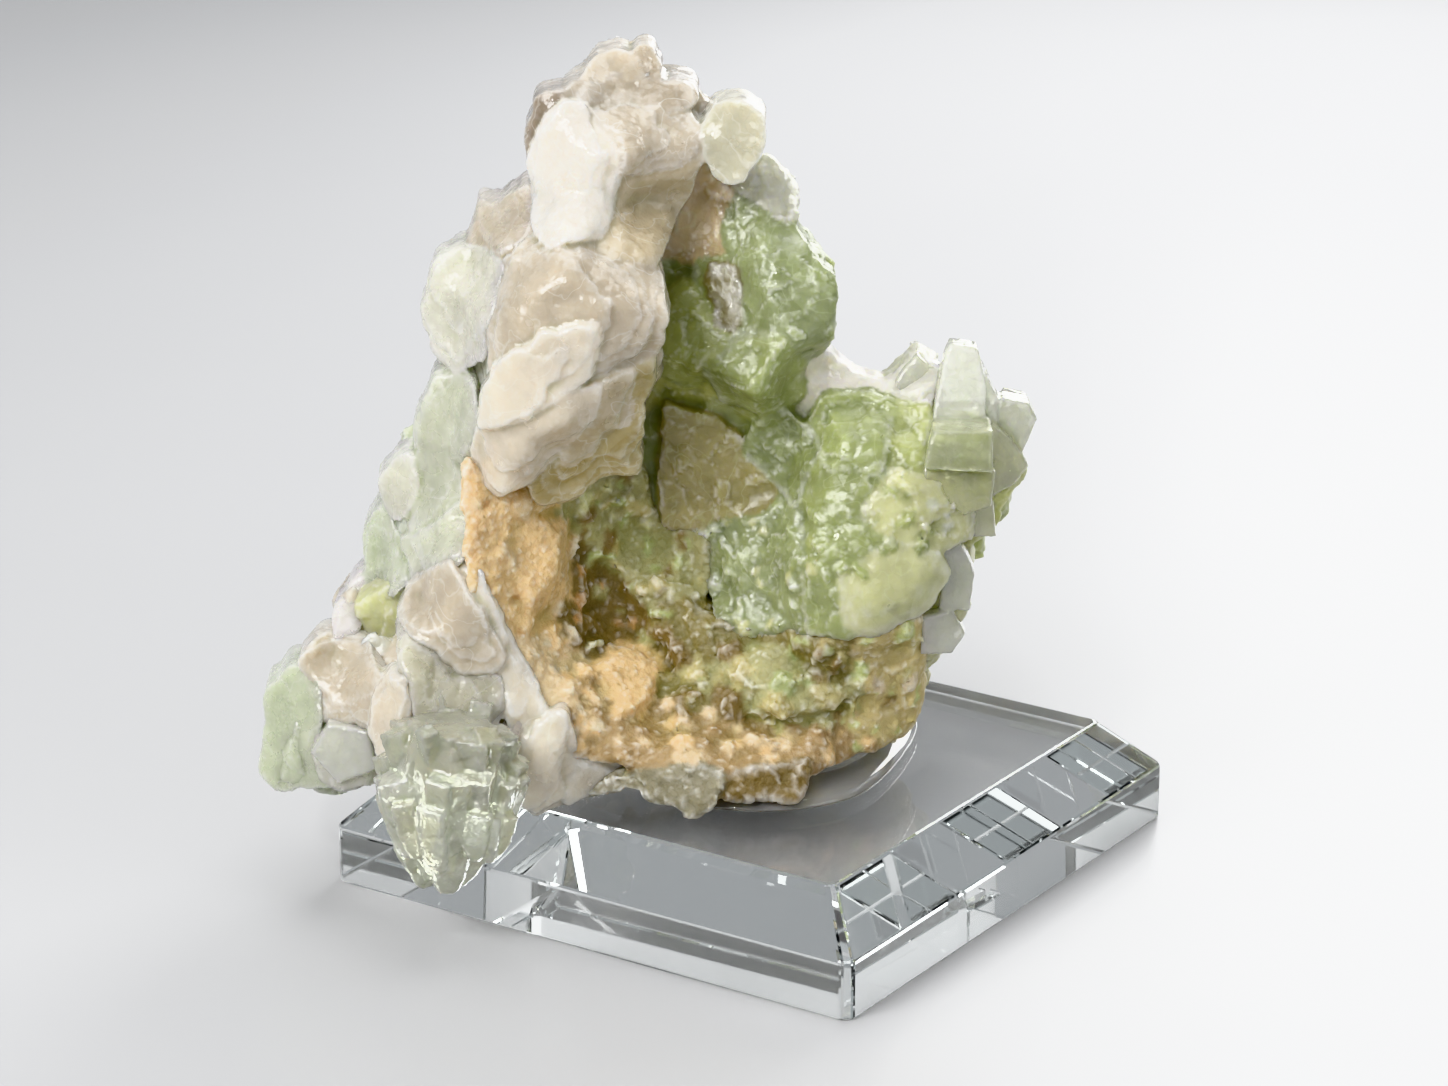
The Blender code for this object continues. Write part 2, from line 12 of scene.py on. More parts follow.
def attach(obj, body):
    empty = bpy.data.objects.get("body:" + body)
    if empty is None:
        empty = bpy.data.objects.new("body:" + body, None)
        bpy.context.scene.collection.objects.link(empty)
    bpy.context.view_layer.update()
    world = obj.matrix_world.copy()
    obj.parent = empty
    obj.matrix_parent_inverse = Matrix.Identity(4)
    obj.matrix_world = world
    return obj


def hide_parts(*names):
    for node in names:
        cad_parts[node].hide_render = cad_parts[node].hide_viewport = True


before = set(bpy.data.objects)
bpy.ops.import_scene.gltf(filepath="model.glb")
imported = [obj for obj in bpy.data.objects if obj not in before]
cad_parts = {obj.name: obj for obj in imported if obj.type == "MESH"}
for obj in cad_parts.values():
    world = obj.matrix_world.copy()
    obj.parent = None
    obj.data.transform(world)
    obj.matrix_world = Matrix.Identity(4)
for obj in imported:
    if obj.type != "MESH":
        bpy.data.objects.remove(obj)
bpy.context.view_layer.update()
MM = 0.001

# The camera stands in front of the specimen and looks down on it a little
CAMERA_PLACE = (0.29554, -0.45094, 0.23016)
CAMERA_AZIMUTH = math.radians(33.63)
CAMERA_ELEVATION = math.radians(19.64)
CAMERA_LENS = 124.3

# The specimen's own frame: u to the right, v away, z up, in millimetres.
# It stands on the block turned by this angle.
SPECIMEN_TURN = math.radians(33.63)
BASE_SIDE = 70.0
BASE_HEIGHT = 12.7
BASE_WALL_HEIGHT = 6.8
BASE_BEVEL_INSET = 5.7
BASE_CORNER_CUT = 1.0
# The floor lies this far under the block, so their faces don't meet
FLOOR_DROP = 0.00004
# Nothing grown reaches lower than this over the block
FOOT = 13.2


def rgb(red, green, blue):
    """A colour as seen on screen, 0 to 255, as the light values that a shader takes."""
    seen = np.array((red, green, blue)) / 255
    return tuple(np.where(seen <= 0.04045, seen / 12.92, ((seen + 0.055) / 1.055) ** 2.4))


TINT = {
    "pearl": rgb(234, 228, 218),
    "white": rgb(226, 216, 198),
    "cream": rgb(214, 202, 182),
    "beige": rgb(196, 184, 164),
    "buff": rgb(198, 184, 156),
    "olive": rgb(178, 168, 118),
    "sand": rgb(210, 188, 150),
    "tan": rgb(214, 184, 136),
    "rust": rgb(186, 146, 94),
    "brown": rgb(122, 104, 62),
    "moss": rgb(160, 156, 112),
    "leaf": rgb(162, 170, 116),
    "jade": rgb(158, 166, 122),
    "lime": rgb(176, 182, 122),
    "lemon": rgb(200, 202, 136),
    "pale_lime": rgb(208, 208, 160),
    "mint": rgb(208, 210, 188),
    "sea": rgb(202, 208, 180),
    "ice": rgb(218, 216, 200),
    "mist": rgb(196, 192, 170),
    # A deep green, darkened further as painted shade for faces in the hollow
    "deep": rgb(144, 152, 104),
    "dun": rgb(180, 168, 148),
    "khaki": rgb(184, 168, 118),
    "grass": rgb(156, 164, 110),
    "fawn": rgb(160, 136, 96),
    "stone": rgb(134, 128, 104),
    "taupe": rgb(146, 132, 114),
    "frost": rgb(240, 242, 224),
    "haze": rgb(228, 228, 190),
    "drab": rgb(128, 118, 72),
}

# Lumps of the body: centre (u, v, z), radii (u, v, z) in millimetres, finish, tint
CORE = [
    ((-15, 4, 83), (9, 12, 9), "stilbite", "cream"),
    ((-7.5, 8, 66), (13.5, 13, 12.5), "apophyllite", "jade"),
    ((-26, -2, 63.5), (9, 14, 12), "stilbite", "ice"),
    ((-13.5, 10, 40), (19, 13, 17), "druse", "moss"),
    ((16.5, 4, 42.5), (10, 12, 9), "apophyllite", "lime"),
    ((10, -4, 37), (12, 12, 9.5), "apophyllite", "lime"),
    ((3.5, -3, 24), (16, 14, 9.5), "druse", "moss"),
    ((-26, -8, 38), (6, 10, 12), "crust", "tan"),
    ((-18, -8, 23), (9.5, 12, 7), "crust", "tan"),
    ((-35, 0, 35.5), (7, 13, 18), "stilbite", "mint"),
    ((-36, -9, 24.5), (8.5, 12, 9), "stilbite", "cream"),
    ((-47.5, -5, 20.5), (6.5, 9, 6), "apophyllite", "sea"),
    ((-8, 4, 27), (14, 12, 8), "druse", "moss"),
    ((-5.5, -5, 17), (13.5, 13, 5.5), "druse", "brown"),
]

# Smaller rounded growths on the body
NODULES = [
    ((-16, 2, 92.5), (2.5, 4, 2.8), "stilbite", "beige"),
    ((-12.5, 1, 93), (1.8, 4, 2.8), "stilbite", "cream"),
    ((-21, 2, 89), (3, 6, 2.8), "stilbite", "beige"),
    ((-9, 1, 89.5), (3, 6, 2.8), "stilbite", "cream"),
    ((-2.5, 0, 87), (3, 5, 3.8), "stilbite", "beige"),
    ((-6, 1, 87.5), (2.8, 5, 2.5), "stilbite", "cream"),
    ((-46, -2, 30), (2.5, 6, 5), "stilbite", "cream"),
    ((15, -4, 18.5), (3.5, 7, 3), "druse", "olive"),
    ((-15, -9, 65), (5, 8, 9), "stilbite", "cream"),
    ((1.5, -1, 69), (6.5, 7.5, 8), "apophyllite", "jade"),
]

# Faces that make up the front, as the photograph shows them: name, piece, form, tint, front
# plane v = v0 + along_u (u - u0) + along_z (z - z0), the point (u0, z0), thickness, how far it
# stands out, then its outline (u, z)
SLABS = [
    ("knob_left", "pearly", "lobe", "beige", (-1, -0.23, 0.18), (-15.5, 93.5), 6, 0.15,
     [(-19, 93.5), (-17.5, 95), (-15.5, 95.5), (-13.5, 95), (-13, 93), (-14, 92), (-17.5, 92.5)]),
    ("knob_top", "pearly", "lobe", "dun", (-2, -0.06, 0.5), (-12.5, 94.5), 5, 0.15,
     [(-14, 94.5), (-13.5, 96), (-12.5, 96.5), (-11.5, 96), (-11, 94), (-11.5, 92.5), (-13, 92.5)]),
    ("brow_cap", "pearly", "blade", "dun", (-4.5, 0.3, 0.3), (-13.5, 91.5), 7, 0.2,
     [(-21.5, 92.5), (-19, 93.5), (-11.5, 93), (-7.5, 92.5), (-6.5, 91), (-9.5, 89.5), (-13, 90.5),
      (-16, 90.5), (-18.5, 91.5)]),
    ("left_brown", "pearly", "lobe", "taupe", (-7.5, -0.6, 0.1), (-23.5, 89), 6, 0,
     [(-25, 88.5), (-24, 92), (-21.5, 93), (-21, 91), (-23, 88.5), (-24, 84), (-25, 85)]),
    ("pearly_top", "pearly", "blade", "pearl", (-11, -0.52, -0.1), (-20, 85), 6, 1.2,
     [(-23, 90), (-21.5, 92), (-19, 91.5), (-18.5, 90), (-15, 88.5), (-14.5, 87), (-15.5, 84), (-16, 82),
      (-17, 79), (-20, 79), (-23, 78.5), (-24.5, 79), (-24.5, 81.5), (-25, 85), (-24, 88)]),
    ("cap_front", "pearly", "blade", "beige", (-9, 0.2, 0.42), (-11.5, 88), 6, 0.7,
     [(-18.5, 90.5), (-14.5, 90.5), (-10.5, 90.5), (-7.5, 89.5), (-6, 88), (-6.5, 86), (-8.5, 85),
      (-13, 84.5), (-15, 84.5), (-15, 88.5)]),
    ("cap_under", "pearly", "block", "buff", (-7.5, 0.3, -0.3), (-12, 81), 6, 0,
     [(-16, 84.5), (-12, 85), (-6.5, 85.5), (-7.5, 82), (-10, 77), (-11, 75.5), (-17, 78), (-15.5, 81)]),
    ("shade_slab", "green", "block", "sand", (-2, 0.25, -0.05), (-6, 77), 6, 0,
     [(-6.5, 85), (-5, 81.5), (-1.5, 79), (-2, 75.5), (-3, 72.5), (-6.5, 72.5), (-11.5, 72.5), (-10, 75),
      (-7.5, 80.5)]),
    ("ball", "pearly", "lobe", "mist", (-8.5, -0.23, 0.15), (-2.5, 87.5), 6, 0.5,
     [(-5.5, 89), (-4.5, 91), (-2, 92), (0.5, 90.5), (0.5, 87.5), (-1, 85), (-2, 83.5), (-4.5, 83.5),
      (-5.5, 86.5)]),
    ("fringe_bed", "green", "lobe", "ice", (-2, 0.3, 0.2), (1, 80), 5, 0,
     [(-2, 81.5), (-1, 83.5), (1.5, 82), (3.5, 80), (4, 78.5), (3, 77), (1, 78), (-1.5, 79.5)]),
    ("brow_left", "clear", "blade", "beige", (-3.5, -0.45, 0.2), (-28, 77.5), 6, 0.1,
     [(-31, 78.5), (-28.5, 78.5), (-25.5, 81.5), (-24.5, 80.5), (-25, 77.5), (-27.5, 75), (-30.5, 73.5),
      (-32, 74.5)]),
    ("wing_left", "clear", "blade", "ice", (-9, -0.45, 0.15), (-33, 69.5), 6, 0.4,
     [(-36.5, 71), (-35, 73.5), (-32, 74.5), (-28, 75), (-29, 71.5), (-30, 66), (-33.5, 61.5),
      (-36, 63.5), (-37, 67.5)]),
    ("shield_back", "pearly", "blade", "beige", (-20.5, -0.05, -0.1), (-19.5, 71), 6, 0,
     [(-27.5, 75.5), (-25, 77.5), (-21.5, 79), (-17, 78.5), (-14, 77), (-11.5, 76), (-10.5, 74),
      (-10, 70.5), (-11, 66.5), (-14, 64), (-17, 63.5), (-21.5, 63), (-26, 62), (-29, 63.5),
      (-29.5, 69.5), (-28, 72.5)]),
    ("shield_front", "pearly", "blade", "beige", (-21, -0.02, -0.1), (-20, 70.5), 4, 0.8,
     [(-27, 75.5), (-21.5, 78), (-17, 76.5), (-13, 75), (-11.5, 71), (-13, 67), (-17, 65), (-22, 64),
      (-27.5, 64), (-28.5, 69)]),
    ("shield_leaf", "pearly", "blade", "white", (-22, -0.1, -0.2), (-23.5, 65.5), 3.5, 1.9,
     [(-17.5, 71), (-17, 69), (-18.5, 65), (-22.5, 62), (-27.5, 59.5), (-30.5, 58), (-30, 61.5),
      (-27.5, 66.5), (-23, 69.5), (-19.5, 71)]),
    ("skirt_left", "pearly", "blade", "cream", (-21, -0.15, -0.2), (-25.5, 56.5), 4, 1,
     [(-30.5, 58), (-27.5, 59), (-22.5, 62), (-17, 63.5), (-18, 59.5), (-21.5, 55.5), (-25, 52),
      (-28.5, 50), (-30.5, 51.5), (-31.5, 54)]),
    ("skirt_middle", "pearly", "blade", "buff", (-18, 0.05, -0.25), (-17, 58), 4, 0.5,
     [(-21.5, 55.5), (-18, 59), (-17.5, 63.5), (-13.5, 64.5), (-14, 61), (-13, 57.5), (-16, 56),
      (-19, 53), (-21.5, 52.5)]),
    ("skirt_right", "pearly", "blade", "khaki", (-16.5, 0.25, -0.2), (-17, 56.5), 5, 0,
     [(-17, 63.5), (-14, 64), (-11.5, 66), (-11.5, 63), (-13, 60), (-13, 55.5), (-13.5, 51), (-17.5, 51),
      (-20.5, 48.5), (-24, 48), (-25, 51.5), (-21.5, 55), (-18, 56)]),
    ("green_top", "green", "lobe", "jade", (-7, -0.05, 0.2), (0, 76), 6, 0.1,
     [(-3, 78), (-1.5, 80), (1, 78.5), (3.5, 76.5), (4.5, 75), (1, 73.5), (-2, 73), (-3.5, 74.5)]),
    ("green_right", "green", "lobe", "jade", (-10, 0.05, 0.2), (3, 69), 6, 0.6,
     [(-2, 73.5), (1, 76.5), (4.5, 75), (8, 71.5), (8.5, 67), (7, 63), (4, 62.5), (2.5, 66.5), (-1, 67),
      (-2, 70)]),
    ("green_low", "green", "lobe", "leaf", (-13, 0.05, 0.12), (0.5, 60.5), 6, 1.2,
     [(-5, 61.5), (-1.5, 65), (3, 65.5), (4.5, 61.5), (4.5, 58.5), (3, 56.5), (1, 56.5), (-3.5, 58)]),
    ("green_mid", "green", "lobe", "lime", (-8.5, 0.1, 0), (-6.5, 64.5), 6, 0.15,
     [(-10.5, 67.5), (-8, 70), (-4.5, 68.5), (-1.5, 66), (-1.5, 64.5), (-5, 61), (-7.5, 59), (-11, 60.5),
      (-10, 64.5)]),
    # Painted shade: this face in the hollow wears the darkened green
    ("green_dark", "green", "block", "deep", (-4, 0.05, 0.2), (-8.5, 70.5), 5, -0.75,
     [(-12, 72), (-9.5, 72.5), (-4.5, 72), (-4, 70), (-7.5, 69.5), (-10.5, 67), (-11, 69.5)]),
    ("green_corner", "green", "lobe", "leaf", (-5.5, 0.15, 0.2), (-4, 70), 6, 0,
     [(-6.5, 72.5), (-3, 73), (-2, 70), (-2, 66.5), (-4.5, 68.5), (-6.5, 70.5)]),
    ("hang_buff", "green", "blade", "drab", (-7.5, 0.1, 0.2), (-3.5, 69), 3, 1.2,
     [(-5, 72.5), (-2, 72.5), (-2, 69.5), (-2, 67), (-3, 66), (-4.5, 66.5), (-4, 68.5), (-5.5, 70.5)]),
    ("green_edge_left", "green", "block", "lemon", (-4, 0.2, -0.2), (-8.5, 57), 5, -0.5,
     [(-12.5, 57), (-11, 60.5), (-7.5, 58.5), (-5, 60), (-3, 57), (-6.5, 55), (-10.5, 55.5), (-13, 54)]),
    ("neck_low", "green", "lobe", "lime", (-5, 0, -0.2), (-3, 55), 6, -0.25,
     [(-10.5, 55.5), (-6.5, 55), (-3, 57.5), (1, 55.5), (3, 55.5), (3.5, 54), (0, 52), (-4.5, 53.5),
      (-10.5, 54)]),
    ("green_strip", "green", "block", "leaf", (-4, 0, 0), (-12, 48), 5, -0.25,
     [(-13.5, 54), (-10.5, 56), (-10.5, 41), (-12.5, 42), (-13.5, 48)]),
    ("hollow_blade", "green", "block", "olive", (-6, -0.1, -0.1), (-5, 47.5), 5, 0.6,
     [(-10.5, 56), (-4.5, 54.5), (0, 51), (2.5, 48), (0.5, 44), (-5, 42.5), (-7.5, 41), (-10.5, 41.5),
      (-11, 48.5)]),
    # Painted shade: this face wears the darkened green, as if in shadow
    ("hollow_shard", "green", "block", "deep", (-7.5, -0.15, -0.1), (3, 52), 6, 0.9,
     [(0, 55), (3, 56.5), (6.5, 53.5), (6.5, 52), (4, 46), (2, 48), (-1.5, 51)]),
    ("wisps_left", "body", "mass", "moss", (-6, -0.1, -0.3), (-12.5, 41), 6, 0.1,
     [(-22, 45.5), (-17.5, 48), (-13.5, 48), (-12.5, 42.5), (-10.5, 41), (-6, 41.5), (-5.5, 35.5),
      (-9.5, 34), (-13, 33.5), (-17.5, 38)]),
    ("middle_green", "green", "mass", "jade", (-11, -0.45, 0), (0.5, 38), 7, 0.15,
     [(-5.5, 42.5), (0.5, 44), (4, 46), (5, 41.5), (5.5, 36.5), (5.5, 33), (-0.5, 30.5), (-3.5, 31.5),
      (-5.5, 36)]),
    ("brown_zone", "body", "mass", "brown", (-8.5, -0.1, -0.4), (-17, 34.5), 6, 0,
     [(-25.5, 44.5), (-22, 45.5), (-17.5, 38), (-12.5, 34), (-9, 31), (-9.5, 27), (-15, 27), (-20, 29.5),
      (-23.5, 35)]),
    ("olive_low", "body", "mass", "drab", (-13.5, -0.1, -0.35), (-3.5, 28.5), 7, 0.1,
     [(-12.5, 34), (-9.5, 34), (-3, 31.5), (2.5, 31.5), (11, 33), (11, 23.5), (3, 22.5), (-5, 23.5),
      (-11, 24), (-15, 27), (-9.5, 27)]),
    ("saddle", "green", "blade", "pearl", (-1, 0.05, -0.2), (8.5, 58), 5, 0,
     [(4.5, 62), (7.5, 62), (10.5, 59), (15, 58.5), (14, 57.5), (7.5, 57.5), (6, 54.5), (3.5, 55.5)]),
    ("block_a", "green", "block", "leaf", (-13, 0.1, 0.1), (11, 54.5), 9, 0.5,
     [(6, 55), (7.5, 58), (13, 58), (15.5, 57), (14.5, 55), (14, 52), (10.5, 51.5), (7.5, 51)]),
    ("block_b", "green", "block", "lime", (-13, 0.05, 0.2), (17, 53.5), 9, 0,
     [(15, 57), (19, 57), (19.5, 55.5), (19, 51.5), (18.5, 50), (14, 50.5), (14, 54)]),
    ("block_c", "green", "crystal", "lime", (-14, 0.05, 0.25), (22, 54), 9, 1.2,
     [(19.5, 56), (26, 56), (26, 51.5), (18.5, 52), (19, 54.5)]),
    ("wedge_d", "green", "crystal", "haze", (-9, 0.5, -0.1), (27.5, 50), 7, 0,
     [(26, 55.5), (28.5, 53), (30.5, 49.5), (29, 47.5), (26.5, 46.5), (25.5, 48), (26, 51)]),
    ("block_e", "green", "crystal", "lemon", (-14.5, 0.1, 0.1), (22, 49), 8, -0.25,
     [(18.5, 51.5), (26.5, 51), (26, 47), (23, 46), (20, 48.5), (18.5, 50)]),
    ("ear", "green", "crystal", "frost", (-6.5, 0.4, 0), (29, 54.5), 6, 0.15,
     [(26.5, 55.5), (27.5, 57.5), (30.5, 56.5), (31.5, 54.5), (30, 51), (28.5, 53)]),
    ("spire_back", "green", "block", "ice", (-5, 0, 0.2), (17.5, 59), 6, 0,
     [(15.5, 59), (18, 62), (19.5, 61), (20.5, 60.5), (19.5, 57), (15.5, 56.5), (13.5, 58)]),
    ("spire_front", "green", "crystal", "frost", (-9, 0.05, 0.25), (23, 60), 6, 0.3,
     [(19.5, 55.5), (20, 58.5), (21, 63), (21.5, 64), (24.5, 63.5), (25, 61.5), (25.5, 59.5),
      (25.5, 55.5)]),
    ("spire_side", "green", "crystal", "frost", (-8, 0.6, 0.2), (26, 58), 5, 0,
     [(25, 61.5), (26, 59.5), (27, 57.5), (27, 55), (25, 55.5)]),
    ("spire_small", "green", "crystal", "frost", (-6, 0.1, 0.2), (18, 59.5), 5, 0,
     [(15.5, 59), (16.5, 60.5), (18, 62), (19, 61), (20.5, 60.5), (20, 58.5), (19.5, 57), (16.5, 56.5)]),
    ("mid_o", "green", "block", "leaf", (-15, -0.1, 0.15), (10, 47.5), 8, -0.15,
     [(6.5, 51), (14, 52), (14, 48), (11, 45), (7.5, 44.5), (5.5, 46)]),
    ("mid_p", "green", "mass", "pale_lime", (-15.5, 0.35, 0.05), (18, 46), 8, 0,
     [(14, 51), (19.5, 50), (23.5, 46), (23.5, 43), (19, 42.5), (14, 44), (12.5, 46.5)]),
    ("step_i", "green", "crystal", "haze", (-11, 0.5, 0), (25, 44.5), 6, 0,
     [(23.5, 47), (26.5, 46.5), (27, 42), (23.5, 42.5)]),
    ("mid_q", "green", "mass", "leaf", (-17, 0.1, 0.1), (12.5, 42.5), 8, 0.1,
     [(5.5, 44.5), (11, 45), (14, 44), (18.5, 43), (20, 41.5), (15, 42.5), (9.5, 40), (5.5, 39)]),
    ("plate_m", "green", "blade", "pale_lime", (-17.5, 0.2, 0.2), (15, 38), 7, 1,
     [(9.5, 40.5), (15, 43.5), (20, 42), (21, 39), (19, 35.5), (15, 33.5), (11, 33.5), (10, 37)]),
    ("block_n", "green", "block", "leaf", (-17, -0.1, 0.2), (8, 37.5), 8, 0.2,
     [(5, 39.5), (8.5, 41.5), (10, 39.5), (11, 33), (5.5, 33)]),
    ("step_k", "green", "crystal", "frost", (-12.5, 0.5, -0.1), (22, 38), 6, 0.1,
     [(20.5, 43), (23, 42), (24.5, 38), (24, 33.5), (20.5, 34.5), (21, 38.5)]),
    ("step_l", "green", "crystal", "frost", (-13, 0.5, 0), (21, 31.5), 6, 0,
     [(18.5, 34), (22, 34), (23.5, 31), (22, 29), (18.5, 29.5)]),
    ("lobe_q", "body", "mass", "khaki", (-14.5, 0.45, -0.15), (14, 25.5), 8, 0,
     [(7, 33), (15, 33), (18.5, 34), (18.5, 29.5), (18.5, 23.5), (17, 19), (14, 18.5), (10.5, 18.5),
      (9, 23)]),
    ("crust_foot", "body", "crust", "fawn", (-18.5, 0.3, 0.2), (2.5, 20), 6, 0,
     [(-7.5, 23.5), (0.5, 23), (10, 23), (14, 18.5), (10.5, 18), (5.5, 17.5), (1.5, 17), (-4, 19),
      (-7.5, 20.5)]),
    ("crust_a", "body", "crust", "tan", (-17.5, 0.5, 0.2), (-27.5, 47.5), 6, 0,
     [(-32, 53), (-30.5, 51.5), (-28.5, 49), (-25, 50), (-23, 50.5), (-22, 47.5), (-23.5, 44),
      (-25.5, 42.5), (-28.5, 42.5), (-31, 44), (-31.5, 48.5)]),
    ("crust_b", "body", "crust", "tan", (-19, 0.5, 0.2), (-26.5, 38), 6, 0.1,
     [(-31.5, 44.5), (-28.5, 43), (-25, 43.5), (-23.5, 40), (-23, 36), (-22, 31.5), (-24, 30.5),
      (-27, 33), (-29.5, 36.5), (-31.5, 40.5)]),
    ("crust_c", "body", "crust", "sand", (-20, 0.3, 0.3), (-22.5, 27.5), 6, 0.15,
     [(-28.5, 35.5), (-23.5, 33), (-20.5, 29.5), (-17.5, 27), (-16.5, 23.5), (-19, 21), (-22.5, 22.5),
      (-25, 26.5), (-28, 30.5)]),
    ("crust_d", "body", "crust", "fawn", (-20.5, 0.2, 0.4), (-13.5, 22.5), 6, 0.15,
     [(-22, 27.5), (-17.5, 27), (-13, 24.5), (-7.5, 24), (-5.5, 22), (-6, 19.5), (-12, 19), (-17.5, 20),
      (-21.5, 21.5)]),
    ("tooth_left", "body", "block", "stone", (-23.5, -0.37, 0.03), (-10.5, 16), 7, 0,
     [(-20.5, 14), (-17.5, 16.5), (-13, 18.5), (-6.5, 19.5), (-4, 18.5), (-4.5, 15.5), (-5.5, 14.5),
      (-7.5, 14), (-9.5, 15), (-11.5, 15), (-13, 16), (-15, 16)]),
    ("tooth_right", "body", "block", "brown", (-22.5, 0.08, 0.15), (0.5, 17), 7, 0.1,
     [(-5, 18.5), (1.5, 18.5), (6, 19), (5.5, 17), (4.5, 15), (2, 15.5), (-1, 15.5), (-3, 15.5),
      (-4.5, 16)]),
    ("flank_top", "clear", "blade", "mint", (-10.5, -0.44, -0.08), (-35.5, 52), 6, 0,
     [(-35.5, 61), (-31.5, 61.5), (-30.5, 57), (-32, 51.5), (-32, 47), (-35, 45), (-39.5, 40.5),
      (-39.5, 45.5), (-38, 49.5), (-38, 54.5), (-36.5, 58.5)]),
    ("flank_ridge", "clear", "block", "ice", (-5.5, -0.45, 0.1), (-40.5, 47), 6, 0.6,
     [(-42, 47.5), (-40.5, 50), (-39, 51), (-38.5, 48.5), (-39.5, 44), (-41, 43), (-42, 45)]),
    ("flank_edge", "clear", "blade", "sea", (-4.5, -0.45, 0), (-41.5, 39), 7, 0,
     [(-44, 40.5), (-42, 43.5), (-41, 41), (-39, 40.5), (-39, 37.5), (-41.5, 36), (-44.5, 34.5)]),
    ("flank_face", "clear", "blade", "mint", (-15, -0.49, 0), (-35, 43), 6, 0.8,
     [(-39.5, 41), (-35, 45), (-32, 48), (-31.5, 45), (-33, 42.5), (-38.5, 37.5)]),
    ("patch_green", "green", "block", "pale_lime", (-11, -0.4, -0.2), (-41.5, 33), 5, -0.15,
     [(-45, 33.5), (-41.5, 36.5), (-38.5, 36.5), (-38.5, 34), (-41, 29), (-44.5, 28.5)]),
    ("leaf_middle", "pearly", "blade", "beige", (-20, -0.24, -0.2), (-33.5, 35), 4, 1.5,
     [(-40, 35.5), (-38.5, 38), (-34, 42.5), (-30.5, 37), (-28.5, 32), (-29, 30.5), (-32.5, 30),
      (-35.5, 33)]),
    ("scale_low", "clear", "blade", "mist", (-22.5, 0.02, 0.03), (-34, 28.5), 5, 0.8,
     [(-40, 35), (-35.5, 32.5), (-32.5, 30), (-28.5, 29.5), (-28, 26), (-30.5, 24), (-34, 23),
      (-37.5, 25), (-39, 30.5)]),
    ("petal_low", "pearly", "blade", "white", (-25, 0.1, 0.1), (-33, 22.5), 4, 0.1,
     [(-38.5, 25), (-34, 23.5), (-30, 24), (-28.5, 25.5), (-29, 23), (-31, 20.5), (-34, 18), (-37, 21)]),
    ("petal_small", "pearly", "blade", "cream", (-24, -0.35, 0.1), (-41, 25.5), 4, 1.3,
     [(-42.5, 27), (-40, 30.5), (-38.5, 30.5), (-38.5, 22.5), (-41.5, 20.5), (-43, 22.5)]),
    ("arm_ridge", "clear", "blade", "pearl", (-6.5, 0.2, 0.3), (-45.5, 32), 5, 0.1,
     [(-47.5, 32.5), (-44.5, 35.5), (-44, 33), (-45, 31), (-47.5, 29.5)]),
    ("arm_crust", "pearly", "blade", "beige", (-16.5, -0.3, 0.3), (-46.5, 26.5), 5, 0.15,
     [(-49.5, 30.5), (-44, 30), (-42, 28.5), (-43, 23), (-45, 23), (-49, 22.5), (-50, 26),
      (-51.5, 28.5)]),
    ("arm_left", "clear", "lobe", "sea", (-15, -0.49, 0.15), (-52, 20.5), 7, 0,
     [(-55, 24.5), (-52, 28), (-49.5, 27.5), (-49, 22.5), (-50, 18.5), (-47.5, 15.5), (-54, 13.5),
      (-56, 15), (-55.5, 19.5)]),
    ("arm_facets", "clear", "crystal", "frost", (-19.5, -0.17, 0.03), (-46, 20), 6, 0.25,
     [(-50, 19.5), (-48, 23), (-43.5, 22.5), (-42.5, 18), (-47, 16)]),
    ("white_blade", "pearly", "blade", "white", (-23, 0.12, -0.08), (-23.5, 19.5), 6, 0.6,
     [(-26, 21.5), (-23.5, 25), (-21.5, 26), (-20, 19.5), (-21.5, 14), (-24.5, 13.5), (-26.5, 15)]),
    ("shade_blade", "clear", "blade", "cream", (-24, 0.2, 0.1), (-27.5, 20), 5, 0,
     [(-29.5, 20), (-26.5, 25), (-25.5, 22), (-26.5, 15), (-28.5, 17)]),
    ("under_blade", "pearly", "blade", "white", (-20, 0.01, -0.11), (-18, 17.5), 6, 0,
     [(-20, 19.5), (-17.5, 19.5), (-13, 17.5), (-17.5, 15.5), (-21.5, 14)]),
    ("frost_bank", "pearly", "blade", "white", (-20.5, -0.3, -0.1), (-28, 32.5), 4, 0,
     [(-33, 41.5), (-31, 42), (-29.5, 38.5), (-27, 32.5), (-24.5, 28), (-23.5, 25), (-26.5, 22.5),
      (-28, 26), (-29, 31.5), (-30.5, 37)]),
]

# Blocks that crowd on a lump of the body: its number, how many, size, tints
BUDS = [
    (0, 40, (1.4, 3.0), ("cream", "beige", "cream")),
    (1, 70, (1.8, 4.0), ("jade", "leaf", "jade", "sea", "jade")),
    (2, 26, (1.5, 3.0), ("ice", "cream")),
    (3, 110, (1.3, 3.0), ("moss", "brown", "moss", "olive", "leaf")),
    (4, 46, (1.6, 3.6), ("lime", "lemon", "lime", "jade")),
    (5, 60, (1.4, 3.4), ("lime", "lemon", "jade", "lime", "pale_lime")),
    (6, 120, (1.2, 2.8), ("moss", "olive", "leaf", "moss", "brown", "olive")),
    (9, 50, (1.6, 3.4), ("mint", "ice", "sea")),
    (10, 36, (1.5, 3.0), ("cream", "ice", "white")),
    (11, 30, (1.5, 2.8), ("sea", "ice", "sea")),
    (12, 60, (1.4, 2.8), ("moss", "brown", "leaf")),
    (13, 70, (1.2, 2.4), ("brown", "olive", "moss")),
]

